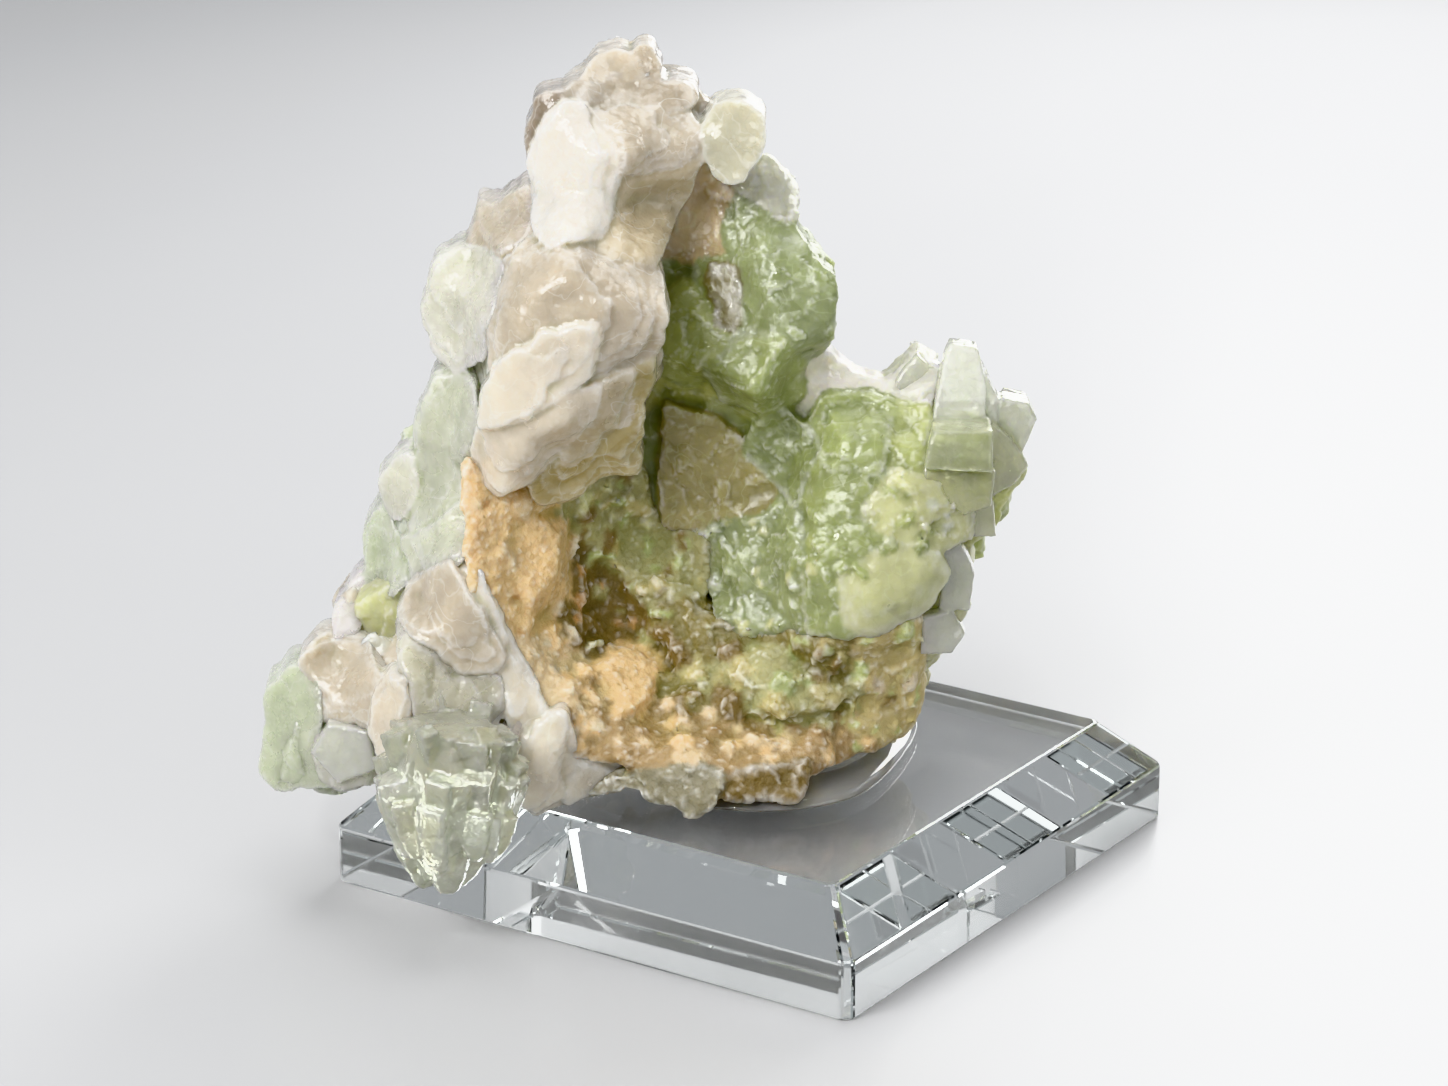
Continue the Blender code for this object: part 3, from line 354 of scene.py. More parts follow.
# Apophyllite crystals: base centre, tip centre (u, v, z), width at base and tip, turn
# about their own axis in degrees, tint
CRYSTALS = [
    ((23.5, -6, 52), (23, -6, 63), 8, 3.5, 40, "ice"),
    ((18, -2, 53), (17.5, -2, 60.5), 5.5, 2.5, 30, "ice"),
    ((27, -4, 51), (31, -4, 54.5), 5, 3, 20, "ice"),
    ((27, -2, 52), (29.5, -2, 55.5), 3.5, 2, 60, "ice"),
    ((11, -4, 46), (10.5, -15, 53), 8, 7, 8, "lime"),
    ((17, -4, 48), (16.5, -14, 53), 6, 5.5, 12, "lime"),
    ((23, -3, 48), (23, -14, 51.5), 8, 7, 4, "lemon"),
    ((25, -4, 48.5), (29.5, -7, 49.5), 7.5, 2.5, 30, "lemon"),
    ((22, -4, 43.5), (26.5, -8, 43.5), 6, 3.5, 25, "lemon"),
    ((19.5, -6, 38.5), (24.5, -7, 38.5), 6, 2.5, 35, "pale_lime"),
    ((19.5, -8, 34), (24, -9, 34.5), 6, 3.5, 20, "pale_lime"),
    ((17.5, -8, 29), (21.5, -9, 28.5), 6, 3, 45, "pale_lime"),
    ((15, -6, 42), (15, -18, 47), 7.5, 4.5, 12, "lime"),
    ((19, -6, 37.5), (20, -16, 40.5), 6.5, 4, 20, "lime"),
    ((9.5, -6, 40), (9.5, -19, 46), 7, 5, 40, "lime"),
    ((13.5, -8, 34), (13.5, -19, 37), 9, 6.5, 15, "lemon"),
    ((7, -8, 33.5), (6.5, -20, 38), 8, 6, 30, "lime"),
    ((1.5, -6, 34), (1, -17, 38), 8, 6, 55, "jade"),
    ((2, -4, 40), (1, -12, 42.5), 6, 4, 20, "jade"),
    ((-3, 0, 79.5), (0, 0, 82), 3.5, 2, 20, "ice"),
    ((-1, 1, 77.5), (1.8, 1, 80.5), 3.5, 2.2, 50, "ice"),
    ((-0.5, 0, 76), (3.5, 0, 79), 4.5, 2.8, 30, "ice"),
    ((1, 0, 74), (4.6, 0, 75.2), 2.5, 1.4, 15, "ice"),
    ((1, 0, 72), (4.5, 0, 73.2), 2.5, 1.4, 60, "ice"),
    ((-49, -9, 24), (-51.3, -12, 12.8), 9.5, 8.5, 25, "sea"),
    ((-45, -11, 19), (-46.5, -19, 18), 8.5, 6, 15, "ice"),
    ((-6.5, -15, 18), (-7.5, -24, 14.8), 9, 5, 30, "mist"),
    ((-2.5, -16, 17), (-2.5, -22.5, 15.2), 6.5, 4.5, 10, "brown"),
    ((3, -14, 17.5), (3, -22, 15.2), 6.5, 5.5, 20, "brown"),
    ((-12.5, -13, 17), (-11.5, -21.5, 15.4), 8, 4.5, 40, "mist"),
]
# A crystal's prism ends at this share of its length
SHOULDER = 0.55

# The large crystal that hangs beside the block: height, half widths along u and v
# How many lesser crystals are grown along it
PENDANT_SMALL = 46
PENDANT_AXIS = (-34, -27)
PENDANT_RINGS = [
    (26.5, 4.8, 5.5), (20.5, 7.6, 7.0), (15, 7.8, 6.8), (9.5, 3.6, 3.6), (7.2, 1, 1.2),
]
PENDANT_SIDES = 7
PENDANT_TURN = 0.35

# Mounting gel: outline on the block's top (u, v), then height and scale of its rings
PAD_OUTLINE = [
    (-17, -8), (-13.5, -16.5), (-5, -22), (4, -22.5), (12, -18.5),
    (15.5, -10), (18.5, -1), (20, 8), (13, 12), (2, 11), (-9, 8), (-15.5, 0),
]
PAD_RINGS = [(0.0, 0.985), (0.8, 1.0), (1.6, 0.96), (2.3, 0.86), (2.7, 0.7)]
PAD_CROWN = 3.0
PAD_CENTRE = (0.5, -5.0)


def lattice_values(x, y, z, seed):
    """A fixed number from 0 to 1 for each corner of a lattice."""
    mixed = (x * 374761393 + y * 668265263 + z * 1103515245 + seed * 1274126177) & 0xFFFFFFFF
    mixed = ((mixed ^ (mixed >> 13)) * 1274126177) & 0xFFFFFFFF
    return ((mixed ^ (mixed >> 16)) & 0xFFFF) / 65535.0


def soft_noise(points, size, seed):
    """Smooth swells from -1 to 1, about `size` millimetres across."""
    cell = points / size
    low = np.floor(cell).astype(np.int64)
    blend = cell - low
    blend = blend * blend * (3 - 2 * blend)
    total = 0
    for corner in range(8):
        step = ((corner & 1), (corner >> 1) & 1, (corner >> 2) & 1)
        share = np.prod([blend[:, k] if step[k] else 1 - blend[:, k] for k in range(3)], axis=0)
        total = total + share * lattice_values(*(low[:, k] + step[k] for k in range(3)), seed)
    return total * 2 - 1


def nearest_grain(points, size, seed):
    """For each point, the way to the nearest grain's centre and that grain's own numbers."""
    cell = points / size
    low = np.floor(cell).astype(np.int64)
    best = np.full(len(points), 9.0)
    way = np.zeros((len(points), 3))
    own = np.zeros((len(points), 3))
    for x in (-1, 0, 1):
        for y in (-1, 0, 1):
            for z in (-1, 0, 1):
                corner = low + (x, y, z)
                values = np.stack([
                    lattice_values(*corner.T, seed + k) for k in range(3)], axis=1)
                offset = cell - corner - values
                distance = np.einsum("ij,ij->i", offset, offset)
                nearer = distance < best
                best[nearer] = distance[nearer]
                way[nearer] = offset[nearer]
                own[nearer] = values[nearer]
    return way, own


def crystal_steps(points, normals, size, seed):
    """A surface broken into small flat faces, each tilted its own way: heights, -1 to 1."""
    way, own = nearest_grain(points, size, seed)
    tilt = normals + (own - 0.5) * 1.8
    tilt /= np.linalg.norm(tilt, axis=1, keepdims=True) + 1e-9
    return own[:, 0] - 0.5 - np.einsum("ij,ij->i", way, tilt)


def granules(points, size, seed):
    """Rounded granules side by side: heights, about -1 to 1."""
    way, own = nearest_grain(points, size, seed)
    return 1 - 2.2 * np.linalg.norm(way, axis=1) + 0.5 * (own[:, 0] - 0.5)


def to_world(points):
    """From the specimen's own frame in millimetres to the model's frame in metres."""
    turned = np.empty_like(points)
    c, s = math.cos(SPECIMEN_TURN), math.sin(SPECIMEN_TURN)
    turned[:, 0] = points[:, 0] * c - points[:, 1] * s
    turned[:, 1] = points[:, 0] * s + points[:, 1] * c
    turned[:, 2] = points[:, 2]
    return turned * MM


def over_the_block(points):
    """Lifts what would reach into the block, its bevel or the gel."""
    world = to_world(points) / MM
    reach = np.max(np.abs(world[:, :2]), axis=1)
    on_bevel = BASE_HEIGHT - (reach - (BASE_SIDE / 2 - BASE_BEVEL_INSET)) * 1.04
    level = np.where(reach < BASE_SIDE / 2 - BASE_BEVEL_INSET, BASE_HEIGHT, on_bevel)
    level = np.where(reach < BASE_SIDE / 2 + 0.6, level + FOOT - BASE_HEIGHT, 6.0)
    points[:, 2] = np.maximum(points[:, 2], level)
    return points


def mesh_of(name, verts, triangles):
    mesh = bpy.data.meshes.new(name)
    mesh.vertices.add(len(verts))
    mesh.vertices.foreach_set("co", np.ascontiguousarray(verts, dtype=np.float32).ravel())
    mesh.loops.add(len(triangles) * 3)
    mesh.loops.foreach_set("vertex_index", triangles.astype(np.int32).ravel())
    mesh.polygons.add(len(triangles))
    mesh.polygons.foreach_set("loop_start", np.arange(len(triangles), dtype=np.int32) * 3)
    mesh.update(calc_edges=True)
    mesh.validate()
    return mesh


def add_piece(name, mesh, material, smooth):
    """Links a finished mesh as a piece that rides on the one body."""
    thing = bpy.data.objects.new(name, mesh)
    bpy.context.collection.objects.link(thing)
    mesh.materials.clear()
    mesh.materials.append(material)
    mesh.polygons.foreach_set("use_smooth", [smooth] * len(mesh.polygons))
    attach(thing, "root")
    return thing


def paint(mesh, name, colors):
    layer = mesh.attributes.new(name, "FLOAT_COLOR", "POINT")
    full = np.ones((len(colors), 4), dtype=np.float32)
    full[:, :3] = colors
    layer.data.foreach_set("color", full.ravel())


def deselect_all():
    for thing in bpy.context.selected_objects:
        thing.select_set(False)


def take_pattern(thing):
    """Reads a modelled shape as arrays of points and triangles, and removes it."""
    shape = bmesh.new()
    shape.from_mesh(thing.data)
    shape.transform(thing.matrix_world)
    bmesh.ops.recalc_face_normals(shape, faces=shape.faces)
    bmesh.ops.triangulate(shape, faces=shape.faces)
    points = np.array([v.co[:] for v in shape.verts])
    triangles = np.array([[v.index for v in f.verts] for f in shape.faces])
    shape.free()
    bpy.data.objects.remove(thing)
    return points, triangles


def pick_verts(thing, test):
    """In edit mode, selects the points for which the test holds, and nothing else."""
    bpy.ops.mesh.select_mode(type="VERT")
    bpy.ops.mesh.select_all(action="DESELECT")
    shape = bmesh.from_edit_mesh(thing.data)
    for vert in shape.verts:
        vert.select = test(vert.co)
    shape.select_flush(True)
    bmesh.update_edit_mesh(thing.data)


def cut_flat(directions, depths):
    """In edit mode, cuts the shape flat square to each direction."""
    for direction, depth in zip(directions, depths):
        bpy.ops.mesh.select_all(action="SELECT")
        bpy.ops.mesh.bisect(
            plane_co=direction * depth, plane_no=direction, use_fill=True, clear_outer=True)


def even_directions(count, turn=0.0):
    golden = math.pi * (3 - math.sqrt(5))
    for i in range(count):
        height = 1 - 2 * (i + 0.5) / count
        radius = math.sqrt(1 - height * height)
        angle = golden * i + turn
        yield Vector((radius * math.cos(angle), radius * math.sin(angle), height))


def model_lump(cuts, seed, depth=(0.86, 1.0)):
    """A rounded lump of radius 1 with flat places."""
    rng = random.Random(seed)
    bpy.ops.mesh.primitive_ico_sphere_add(subdivisions=3, radius=1.04)
    thing = bpy.context.object
    bpy.ops.object.mode_set(mode="EDIT")
    directions = list(even_directions(cuts, rng.uniform(0, 6)))
    cut_flat(directions, [rng.uniform(*depth) for _ in directions])
    bpy.ops.object.mode_set(mode="OBJECT")
    return take_pattern(thing)


def model_flake(seed):
    """A thin stilbite blade, 1 wide and 1 long, with a blunt point."""
    rng = random.Random(seed)
    bpy.ops.mesh.primitive_cube_add(size=1, location=(0, 0, 0.5))
    thing = bpy.context.object
    bpy.ops.object.transform_apply(location=True)
    bpy.ops.object.mode_set(mode="EDIT")
    bpy.ops.mesh.select_all(action="SELECT")
    bpy.ops.transform.resize(value=(1, 0.28, 1), center_override=(0, 0, 0.5))
    sides = [Vector((side, 0, rng.uniform(0.9, 1.5))).normalized() for side in (-1, 1)]
    cut_flat(sides, [rng.uniform(0.8, 0.88) for _ in sides])
    pick_verts(thing, lambda co: co.z > 0.6)
    bpy.ops.transform.resize(value=(1, 0.7, 1), center_override=(0, 0, 1))
    bpy.ops.object.mode_set(mode="OBJECT")
    return take_pattern(thing)


def lump_source(pattern, centre, radii, tint, finish, turn=0.0):
    points, triangles = pattern
    spin = np.array(Matrix.Rotation(turn, 3, Vector((0.3, 0.5, 0.8))))
    return (points @ spin.T * radii + centre, triangles, TINT[tint], finish)


def edge_distance(spots, outline):
    """For each spot (u, z), how far it is from an outline, and whether it lies inside."""
    start = np.array(outline, dtype=float)
    run = np.roll(start, -1, axis=0) - start
    away = spots[:, None] - start
    along = np.clip((away * run).sum(2) / ((run * run).sum(1) + 1e-9), 0, 1)
    distance = np.linalg.norm(away - run * along[..., None], axis=2).min(1)
    above = (away[..., 1] < 0) != (away[..., 1] < run[:, 1])
    rise = np.where(run[:, 1] == 0, 1e-9, run[:, 1])
    crossed = above & (away[..., 0] < run[:, 0] * away[..., 1] / rise)
    return distance, crossed.sum(1) % 2 == 1


PEARLY_SIDE = ("pearly", "clear")


def front_depth(spots, slab):
    """The depth v of the front at spots (u, z): the slabs of one side blend into each other."""
    total, weight = np.zeros(len(spots)), np.zeros(len(spots))
    for _, piece, _, _, plane, pivot, _, _, outline in SLABS:
        if (piece in PEARLY_SIDE) != (slab[1] in PEARLY_SIDE):
            continue
        distance, inside = edge_distance(spots, outline)
        distance[inside] = 0
        share = np.exp(-(distance / 2) ** 2) + 1e-9 / (1 + distance ** 4)
        level = plane[0] + plane[1] * (spots[:, 0] - pivot[0]) + plane[2] * (spots[:, 1] - pivot[1])
        total += share * level
        weight += share
    return total / weight


def ragged_outline(outline, grow_by, seed, step=0.45, depth=0.3):
    """An outline with its corners eased and its edge scalloped and nicked, a little larger."""
    outline = np.array(outline, dtype=float)
    edge = []
    for start, end in zip(outline, np.roll(outline, -1, axis=0)):
        count = max(1, round(np.linalg.norm(end - start) / step))
        edge.extend(start + (end - start) * i / count for i in range(count))
    edge = np.array(edge)
    edge = 0.5 * edge + 0.25 * (np.roll(edge, 1, axis=0) + np.roll(edge, -1, axis=0))
    run = np.roll(edge, -1, axis=0) - np.roll(edge, 1, axis=0)
    out = np.column_stack((run[:, 1], -run[:, 0])) / (np.linalg.norm(run, axis=1, keepdims=True) + 1e-9)
    turned = edge - np.roll(edge, 1, axis=0)
    if (np.roll(edge, 1, axis=0)[:, 0] * turned[:, 1] - np.roll(edge, 1, axis=0)[:, 1] * turned[:, 0]).sum() < 0:
        out = -out
    flat = np.column_stack((edge, np.zeros(len(edge))))
    bite = soft_noise(flat, 2.6, seed) + 0.7 * soft_noise(flat, 1.1, seed + 7)
    return edge + out * (grow_by + depth * bite[:, None])


def step_at(distance, where, soft=0.18):
    return np.clip((distance - where) / soft * 0.5 + 0.5, 0, 1)


def slab_relief(form, distance, flat, seed):
    """How far back the face lies near its edge, and the painted highlight along that edge and its steps."""
    wander = 0.5 + 0.5 * soft_noise(flat, 3.2, seed + 3)
    wander2 = 0.5 + 0.5 * soft_noise(flat, 4.5, seed + 4)
    # bright: a painted highlight along the edge and along the steps
    if form == "blade":
        first, second, third = 0.35 + 0.8 * wander, 0.9 + 2.6 * wander2, 2.2 + 5.5 * wander * wander2
        back = 0.85 - 0.35 * step_at(distance, first) - 0.3 * step_at(distance, second)
        back -= 0.2 * step_at(distance, third)
        bright = 0.5 * (distance < 0.3) * (wander > 0.4)
        for where, share in ((first, 0.35), (second, 0.4), (third, 0.3)):
            bright = np.maximum(bright, share * (np.abs(distance - where - 0.15) < 0.2) * (wander2 > 0.3))
    elif form == "block":
        back = 0.3 * (1 - step_at(distance, 0.25, 0.3))
        bright = 0.5 * (distance < 0.3) * (wander > 0.45)
    else:
        reach = 3.0 if form == "lobe" else 2.2
        rise = np.clip(1 - distance / reach, 0, 1)
        back = (1.4 if form == "lobe" else 0.8) * (1 - np.sqrt(1 - rise * rise * 0.98))
        bright = 0.35 * (distance < 0.4) * (wander > 0.55)
    return back, bright


def sheet_body(slab, seed):
    """A slab as a closed shape: a front that follows the blended depth, straight sides, a back."""
    _, _, form, tint, plane, pivot, thickness, lift, outline = slab
    grow_by = {"block": 0.35, "blade": 0.45}.get(form, 0.9)
    edge = ragged_outline(outline, grow_by, seed, depth=0.12 if form == "block" else 0.3)
    low, high = edge.min(axis=0), edge.max(axis=0)
    spots = np.stack(np.meshgrid(np.arange(low[0], high[0], 0.55), np.arange(low[1], high[1], 0.55)),
                     axis=-1).reshape(-1, 2)
    spots = spots + 0.16 * np.stack([np.sin(spots[:, 1] * 37.0), np.sin(spots[:, 0] * 31.0)], axis=1)
    distance, inside = edge_distance(spots, edge)
    spots = np.concatenate((edge, spots[inside & (distance > 0.25)]))
    ring = [(i, (i + 1) % len(edge)) for i in range(len(edge))]
    flat, _, triangles, *_ = delaunay_2d_cdt([Vector(p) for p in spots], ring, [], 1, 1e-4)
    flat, triangles = np.array([p[:] for p in flat]), np.array([list(t) for t in triangles])
    distance, _ = edge_distance(flat, edge)
    depth = front_depth(flat, slab)
    if form == "block":
        own = plane[0] + plane[1] * (flat[:, 0] - pivot[0]) + plane[2] * (flat[:, 1] - pivot[1])
        depth = 0.45 * depth + 0.55 * np.clip(own, depth - 1.2, depth + 1.2)
    flat3 = np.column_stack((flat, np.zeros(len(flat))))
    back, bright = slab_relief(form, distance, flat3, seed)
    front = np.column_stack((flat[:, 0], depth - lift + back, flat[:, 1]))
    middle = flat.mean(axis=0)
    rear = middle + (flat - middle) * 0.96
    rear = np.column_stack((rear[:, 0], depth - lift + thickness, rear[:, 1]))
    sides = {}
    for tri in triangles:
        for a, b in zip(tri, np.roll(tri, -1)):
            if (b, a) in sides:
                del sides[(b, a)]
            else:
                sides[(a, b)] = True
    count = len(flat)
    walls = [(a, a + count, b) for a, b in sides] + [(b, a + count, b + count) for a, b in sides]
    faces = np.concatenate((triangles, triangles[:, ::-1] + count, np.array(walls)))
    own = np.array(TINT[tint])
    # Painted highlight: the front is lightened along its edges and steps
    edge_highlight = bright[triangles].mean(axis=1)[:, None]
    colors = np.tile(own, (len(faces), 1))
    colors[:len(triangles)] = own + (0.92 - own) * edge_highlight
    finish = {"mass": "druse", "crust": "crust", "blade": "blade"}.get(form)
    if finish is None:
        finish = "stilbite" if tint in PEARLY_TINTS else "apophyllite"
    return np.concatenate((front, rear)), faces, colors, finish


def leaf_sheet(slab, edge, lift, thickness, shade, seed):
    """One leaf of a blade: a front that follows the blended depth, crisp ragged sides, a back."""
    _, _, _, tint, _, pivot, _, _, _ = slab
    low, high = edge.min(axis=0), edge.max(axis=0)
    spots = np.stack(np.meshgrid(np.arange(low[0], high[0], 1.0), np.arange(low[1], high[1], 1.0)),
                     axis=-1).reshape(-1, 2)
    spots = spots + 0.25 * np.stack([np.sin(spots[:, 1] * 37.0), np.sin(spots[:, 0] * 31.0)], axis=1)
    distance, inside = edge_distance(spots, edge)
    spots = np.concatenate((edge, spots[inside & (distance > 0.45)]))
    ring = [(i, (i + 1) % len(edge)) for i in range(len(edge))]
    flat, _, triangles, *_ = delaunay_2d_cdt([Vector(p) for p in spots], ring, [], 1, 1e-4)
    flat, triangles = np.array([p[:] for p in flat]), np.array([list(t) for t in triangles])
    distance, _ = edge_distance(flat, edge)
    flat3 = np.column_stack((flat, np.zeros(len(flat))))
    tilt = soft_noise(np.array([[seed * 3.3, 0.0, 0.0], [0.0, seed * 5.1, 0.0]]), 1.0, 5) * LEAF_TILT
    level = front_depth(flat, slab) - lift + (flat - pivot) @ tilt
    level += 0.1 * soft_noise(flat3, 3.0, seed) + 0.03 * soft_noise(flat3, 1.3, seed + 1)
    front = np.column_stack((flat[:, 0], level, flat[:, 1]))
    rear = front + (0, thickness, 0)
    sides = {}
    for tri in triangles.tolist():
        for a, b in zip(tri, tri[1:] + tri[:1]):
            if (b, a) in sides:
                del sides[(b, a)]
            else:
                sides[(a, b)] = True
    count = len(flat)
    walls = [(a, a + count, b) for a, b in sides] + [(b, a + count, b + count) for a, b in sides]
    faces = np.concatenate((triangles, triangles[:, ::-1] + count, np.array(walls)))
    own = np.array(TINT[tint]) * shade
    # Painted highlight: the front is lightened near its thin edge, the back and sides more
    thin = 0.25 * np.clip(1 - distance[triangles].mean(axis=1) / 0.6, 0, 1)[:, None]
    colors = np.tile(own + (0.93 - own) * 0.35, (len(faces), 1))
    colors[:len(triangles)] = own + (0.93 - own) * thin
    return np.concatenate((front, rear)), faces, colors, "blade"


# How much the leaves of one blade lean against each other
LEAF_TILT = 0.035


def blade_leaves(slab, seed):
    """A blade as leaves laid on each other, each smaller than the one behind it."""
    rng = random.Random(seed)
    _, _, form, _, _, _, thickness, lift, outline = slab
    if form != "blade":
        return [leaf_sheet(slab, ragged_outline(outline, 0.45, seed), lift, thickness, 1.0, seed)]
    leaves = [leaf_sheet(slab, ragged_outline(outline, 0.45, seed), lift - 0.8, thickness, 0.98, seed)]
    heading = math.radians(rng.uniform(-100, 20))
    for k, (inset, raised) in enumerate(((0.2, 0.5), (0.9, 0.25), (2.0, 0.0))):
        edge = ragged_outline(outline, 0.35, seed + 40 * k, depth=0.42)
        middle = edge.mean(axis=0)
        away = edge - middle
        reach = np.linalg.norm(away, axis=1, keepdims=True)
        facing = np.clip((away / reach) @ (math.cos(heading), math.sin(heading)), -0.2, 1)
        pull = inset * (0.5 + rng.uniform(1.2, 2.2) * facing[:, None])
        edge = edge - away / reach * np.minimum(pull, 0.6 * reach)
        leaves.append(leaf_sheet(slab, edge, lift - raised, 1.2, rng.uniform(0.98, 1.05), seed + k + 1))
        heading += rng.uniform(-0.9, 0.9)
    return leaves


def crystal_body(slab):
    """A slab as a crisp crystal: straight edges, a flat front, sides that narrow to the back."""
    _, _, _, tint, plane, pivot, thickness, lift, outline = slab
    edge = np.array(outline, dtype=float)
    middle = edge.mean(axis=0)
    shape = bmesh.new()
    loops = []
    for size, back in ((0.955, 0.0), (1.02, 0.35), (1.02, thickness * 0.5), (0.8, thickness)):
        ring = middle + (edge - middle) * size
        level = plane[0] + plane[1] * (ring[:, 0] - pivot[0]) + plane[2] * (ring[:, 1] - pivot[1])
        loops.append([shape.verts.new((u, v - lift + back, z)) for (u, z), v in zip(ring, level)])
    shape.faces.new(loops[0])
    shape.faces.new(list(reversed(loops[-1])))
    for near, far in zip(loops, loops[1:]):
        for i in range(len(near)):
            j = (i + 1) % len(near)
            shape.faces.new((near[j], near[i], far[i], far[j]))
    bmesh.ops.recalc_face_normals(shape, faces=shape.faces)
    bmesh.ops.triangulate(shape, faces=shape.faces)
    points = np.array([v.co[:] for v in shape.verts])
    triangles = np.array([[v.index for v in f.verts] for f in shape.faces])
    shape.free()
    colors = np.tile(TINT[tint], (len(points), 1))
    # Painted highlight on the crystal's rim ring; its front a touch darker
    colors[:len(edge)] = colors[:len(edge)] * 0.96
    colors[len(edge):2 * len(edge)] += (0.95 - colors[len(edge):2 * len(edge)]) * 0.35
    return points, triangles, colors


PEARLY_TINTS = ("pearl", "white", "cream", "beige", "buff")
# What crowds on the face of a rough mass: tints by its own tint
MOTTLES = {
    "moss": ("moss", "leaf", "olive", "brown", "pale_lime"),
    "jade": ("jade", "leaf", "jade", "pale_lime", "sea"),
    "brown": ("brown", "moss", "brown", "buff", "rust"),
    "olive": ("olive", "moss", "olive", "brown", "pale_lime", "leaf"),
    "lime": ("lime", "lemon", "lime", "pale_lime", "jade"),
    "sand": ("sand", "tan", "sand", "buff"),
    "fawn": ("fawn", "sand", "fawn", "tan"),
    "leaf": ("leaf", "grass", "lime", "pale_lime"),
    "grass": ("grass", "leaf", "lime", "jade"),
    "pale_lime": ("pale_lime", "lime", "mint", "lime"),
    "drab": ("drab", "moss", "drab", "brown", "grass"),
    "khaki": ("khaki", "olive", "lime", "buff"),
    "tan": ("tan", "sand", "tan", "rust"),
}


def rough_face(slab, rng, patterns, flakes):
    """Small blocks and thin flakes over the face of a rough mass, most of them sunk in it."""
    _, _, form, tint, _, _, _, lift, outline = slab
    low, high = np.min(outline, axis=0), np.max(outline, axis=0)
    count = int((high - low).prod() * 0.4)
    spots = np.array([(rng.uniform(low[0], high[0]), rng.uniform(low[1], high[1]))
                      for _ in range(count)])
    distance, inside = edge_distance(spots, outline)
    depth = front_depth(spots, slab) - lift
    sources = []
    for spot, v in zip(spots[inside], depth[inside]):
        flaky = rng.random() < 0.4 and form != "crust"
        points, triangles = rng.choice(flakes if flaky else patterns)
        spin = np.array(Matrix.Rotation(rng.uniform(0, 6.3), 3, Vector(
            rng.uniform(-1, 1) for _ in range(3)).normalized()))
        big = rng.uniform(1.4, 3.0) if flaky else rng.uniform(0.6, 1.5)
        axes = np.array([big * rng.uniform(0.7, 1.2) for _ in range(3)])
        if flaky:
            points = points - (0, 0, 0.5)
            axes[1] *= 0.7
        sink = 0.45 if flaky else rng.uniform(0.55, 0.95) * big
        color = np.array(TINT[rng.choice(MOTTLES[tint])]) * (1.15 if flaky else 1.0)
        sources.append(((points * axes) @ spin.T + (spot[0], v + sink, spot[1]), triangles,
                        tuple(color), "crust" if form == "crust" else "druse"))
    return sources


def slab_sources(slab, seed, patterns, flakes):
    rng = random.Random(seed)
    sources = [sheet_body(slab, seed)]
    if slab[2] in ("mass", "crust"):
        sources += rough_face(slab, rng, patterns, flakes)
    return sources


def join_arrays(sources):
    points = np.concatenate([s[0] for s in sources])
    starts = np.cumsum([0] + [len(s[0]) for s in sources[:-1]])
    triangles = np.concatenate([s[1] + start for s, start in zip(sources, starts)])
    owner = np.concatenate([np.full(len(s[1]), i) for i, s in enumerate(sources)])
    return points, triangles, owner


def vertex_normals(points, triangles):
    a, b, c = (points[triangles[:, k]] for k in range(3))
    face = np.cross(b - a, c - a)
    total = np.zeros_like(points)
    for k in range(3):
        np.add.at(total, triangles[:, k], face)
    return total / (np.linalg.norm(total, axis=1, keepdims=True) + 1e-12)


def neighbour_mean(values, edges):
    total = np.zeros_like(values)
    count = np.zeros(len(values))
    for a, b in ((0, 1), (1, 0)):
        np.add.at(total, edges[:, a], values[edges[:, b]])
        np.add.at(count, edges[:, a], 1)
    count = np.maximum(count, 1)
    return total / (count[:, None] if values.ndim > 1 else count)


# How each finish breaks up its surface: swell and size, faces and size, granules and size
ROUGHNESS = {
    "blade": ((0.08, 5.0), (0.05, 2.0), (0.0, 1.0)),
    "crisp": ((0.08, 3.0), (0.06, 1.4), (0.0, 1.0)),
    "stilbite": ((0.3, 3.5), (0.22, 2.2), (0.0, 1.0)),
    "apophyllite": ((0.35, 4.5), (0.3, 3.4), (0.0, 1.0)),
    "druse": ((0.4, 4.0), (0.3, 2.6), (0.05, 0.9)),
    "crust": ((0.35, 3.0), (0.1, 1.5), (0.15, 0.75)),
    "gem": ((0.0, 1.0), (0.12, 2.0), (0.0, 1.0)),
}


# Painted glints: small faces are painted brighter or darker, like sparkle: how large they are, and by how much
# for each finish
GLINTS = 2.2
GLINT_SHARE = {"gem": 0.12, "crisp": 0.03, "blade": 0.02, "apophyllite": 0.06, "druse": 0.05, "crust": 0.04}


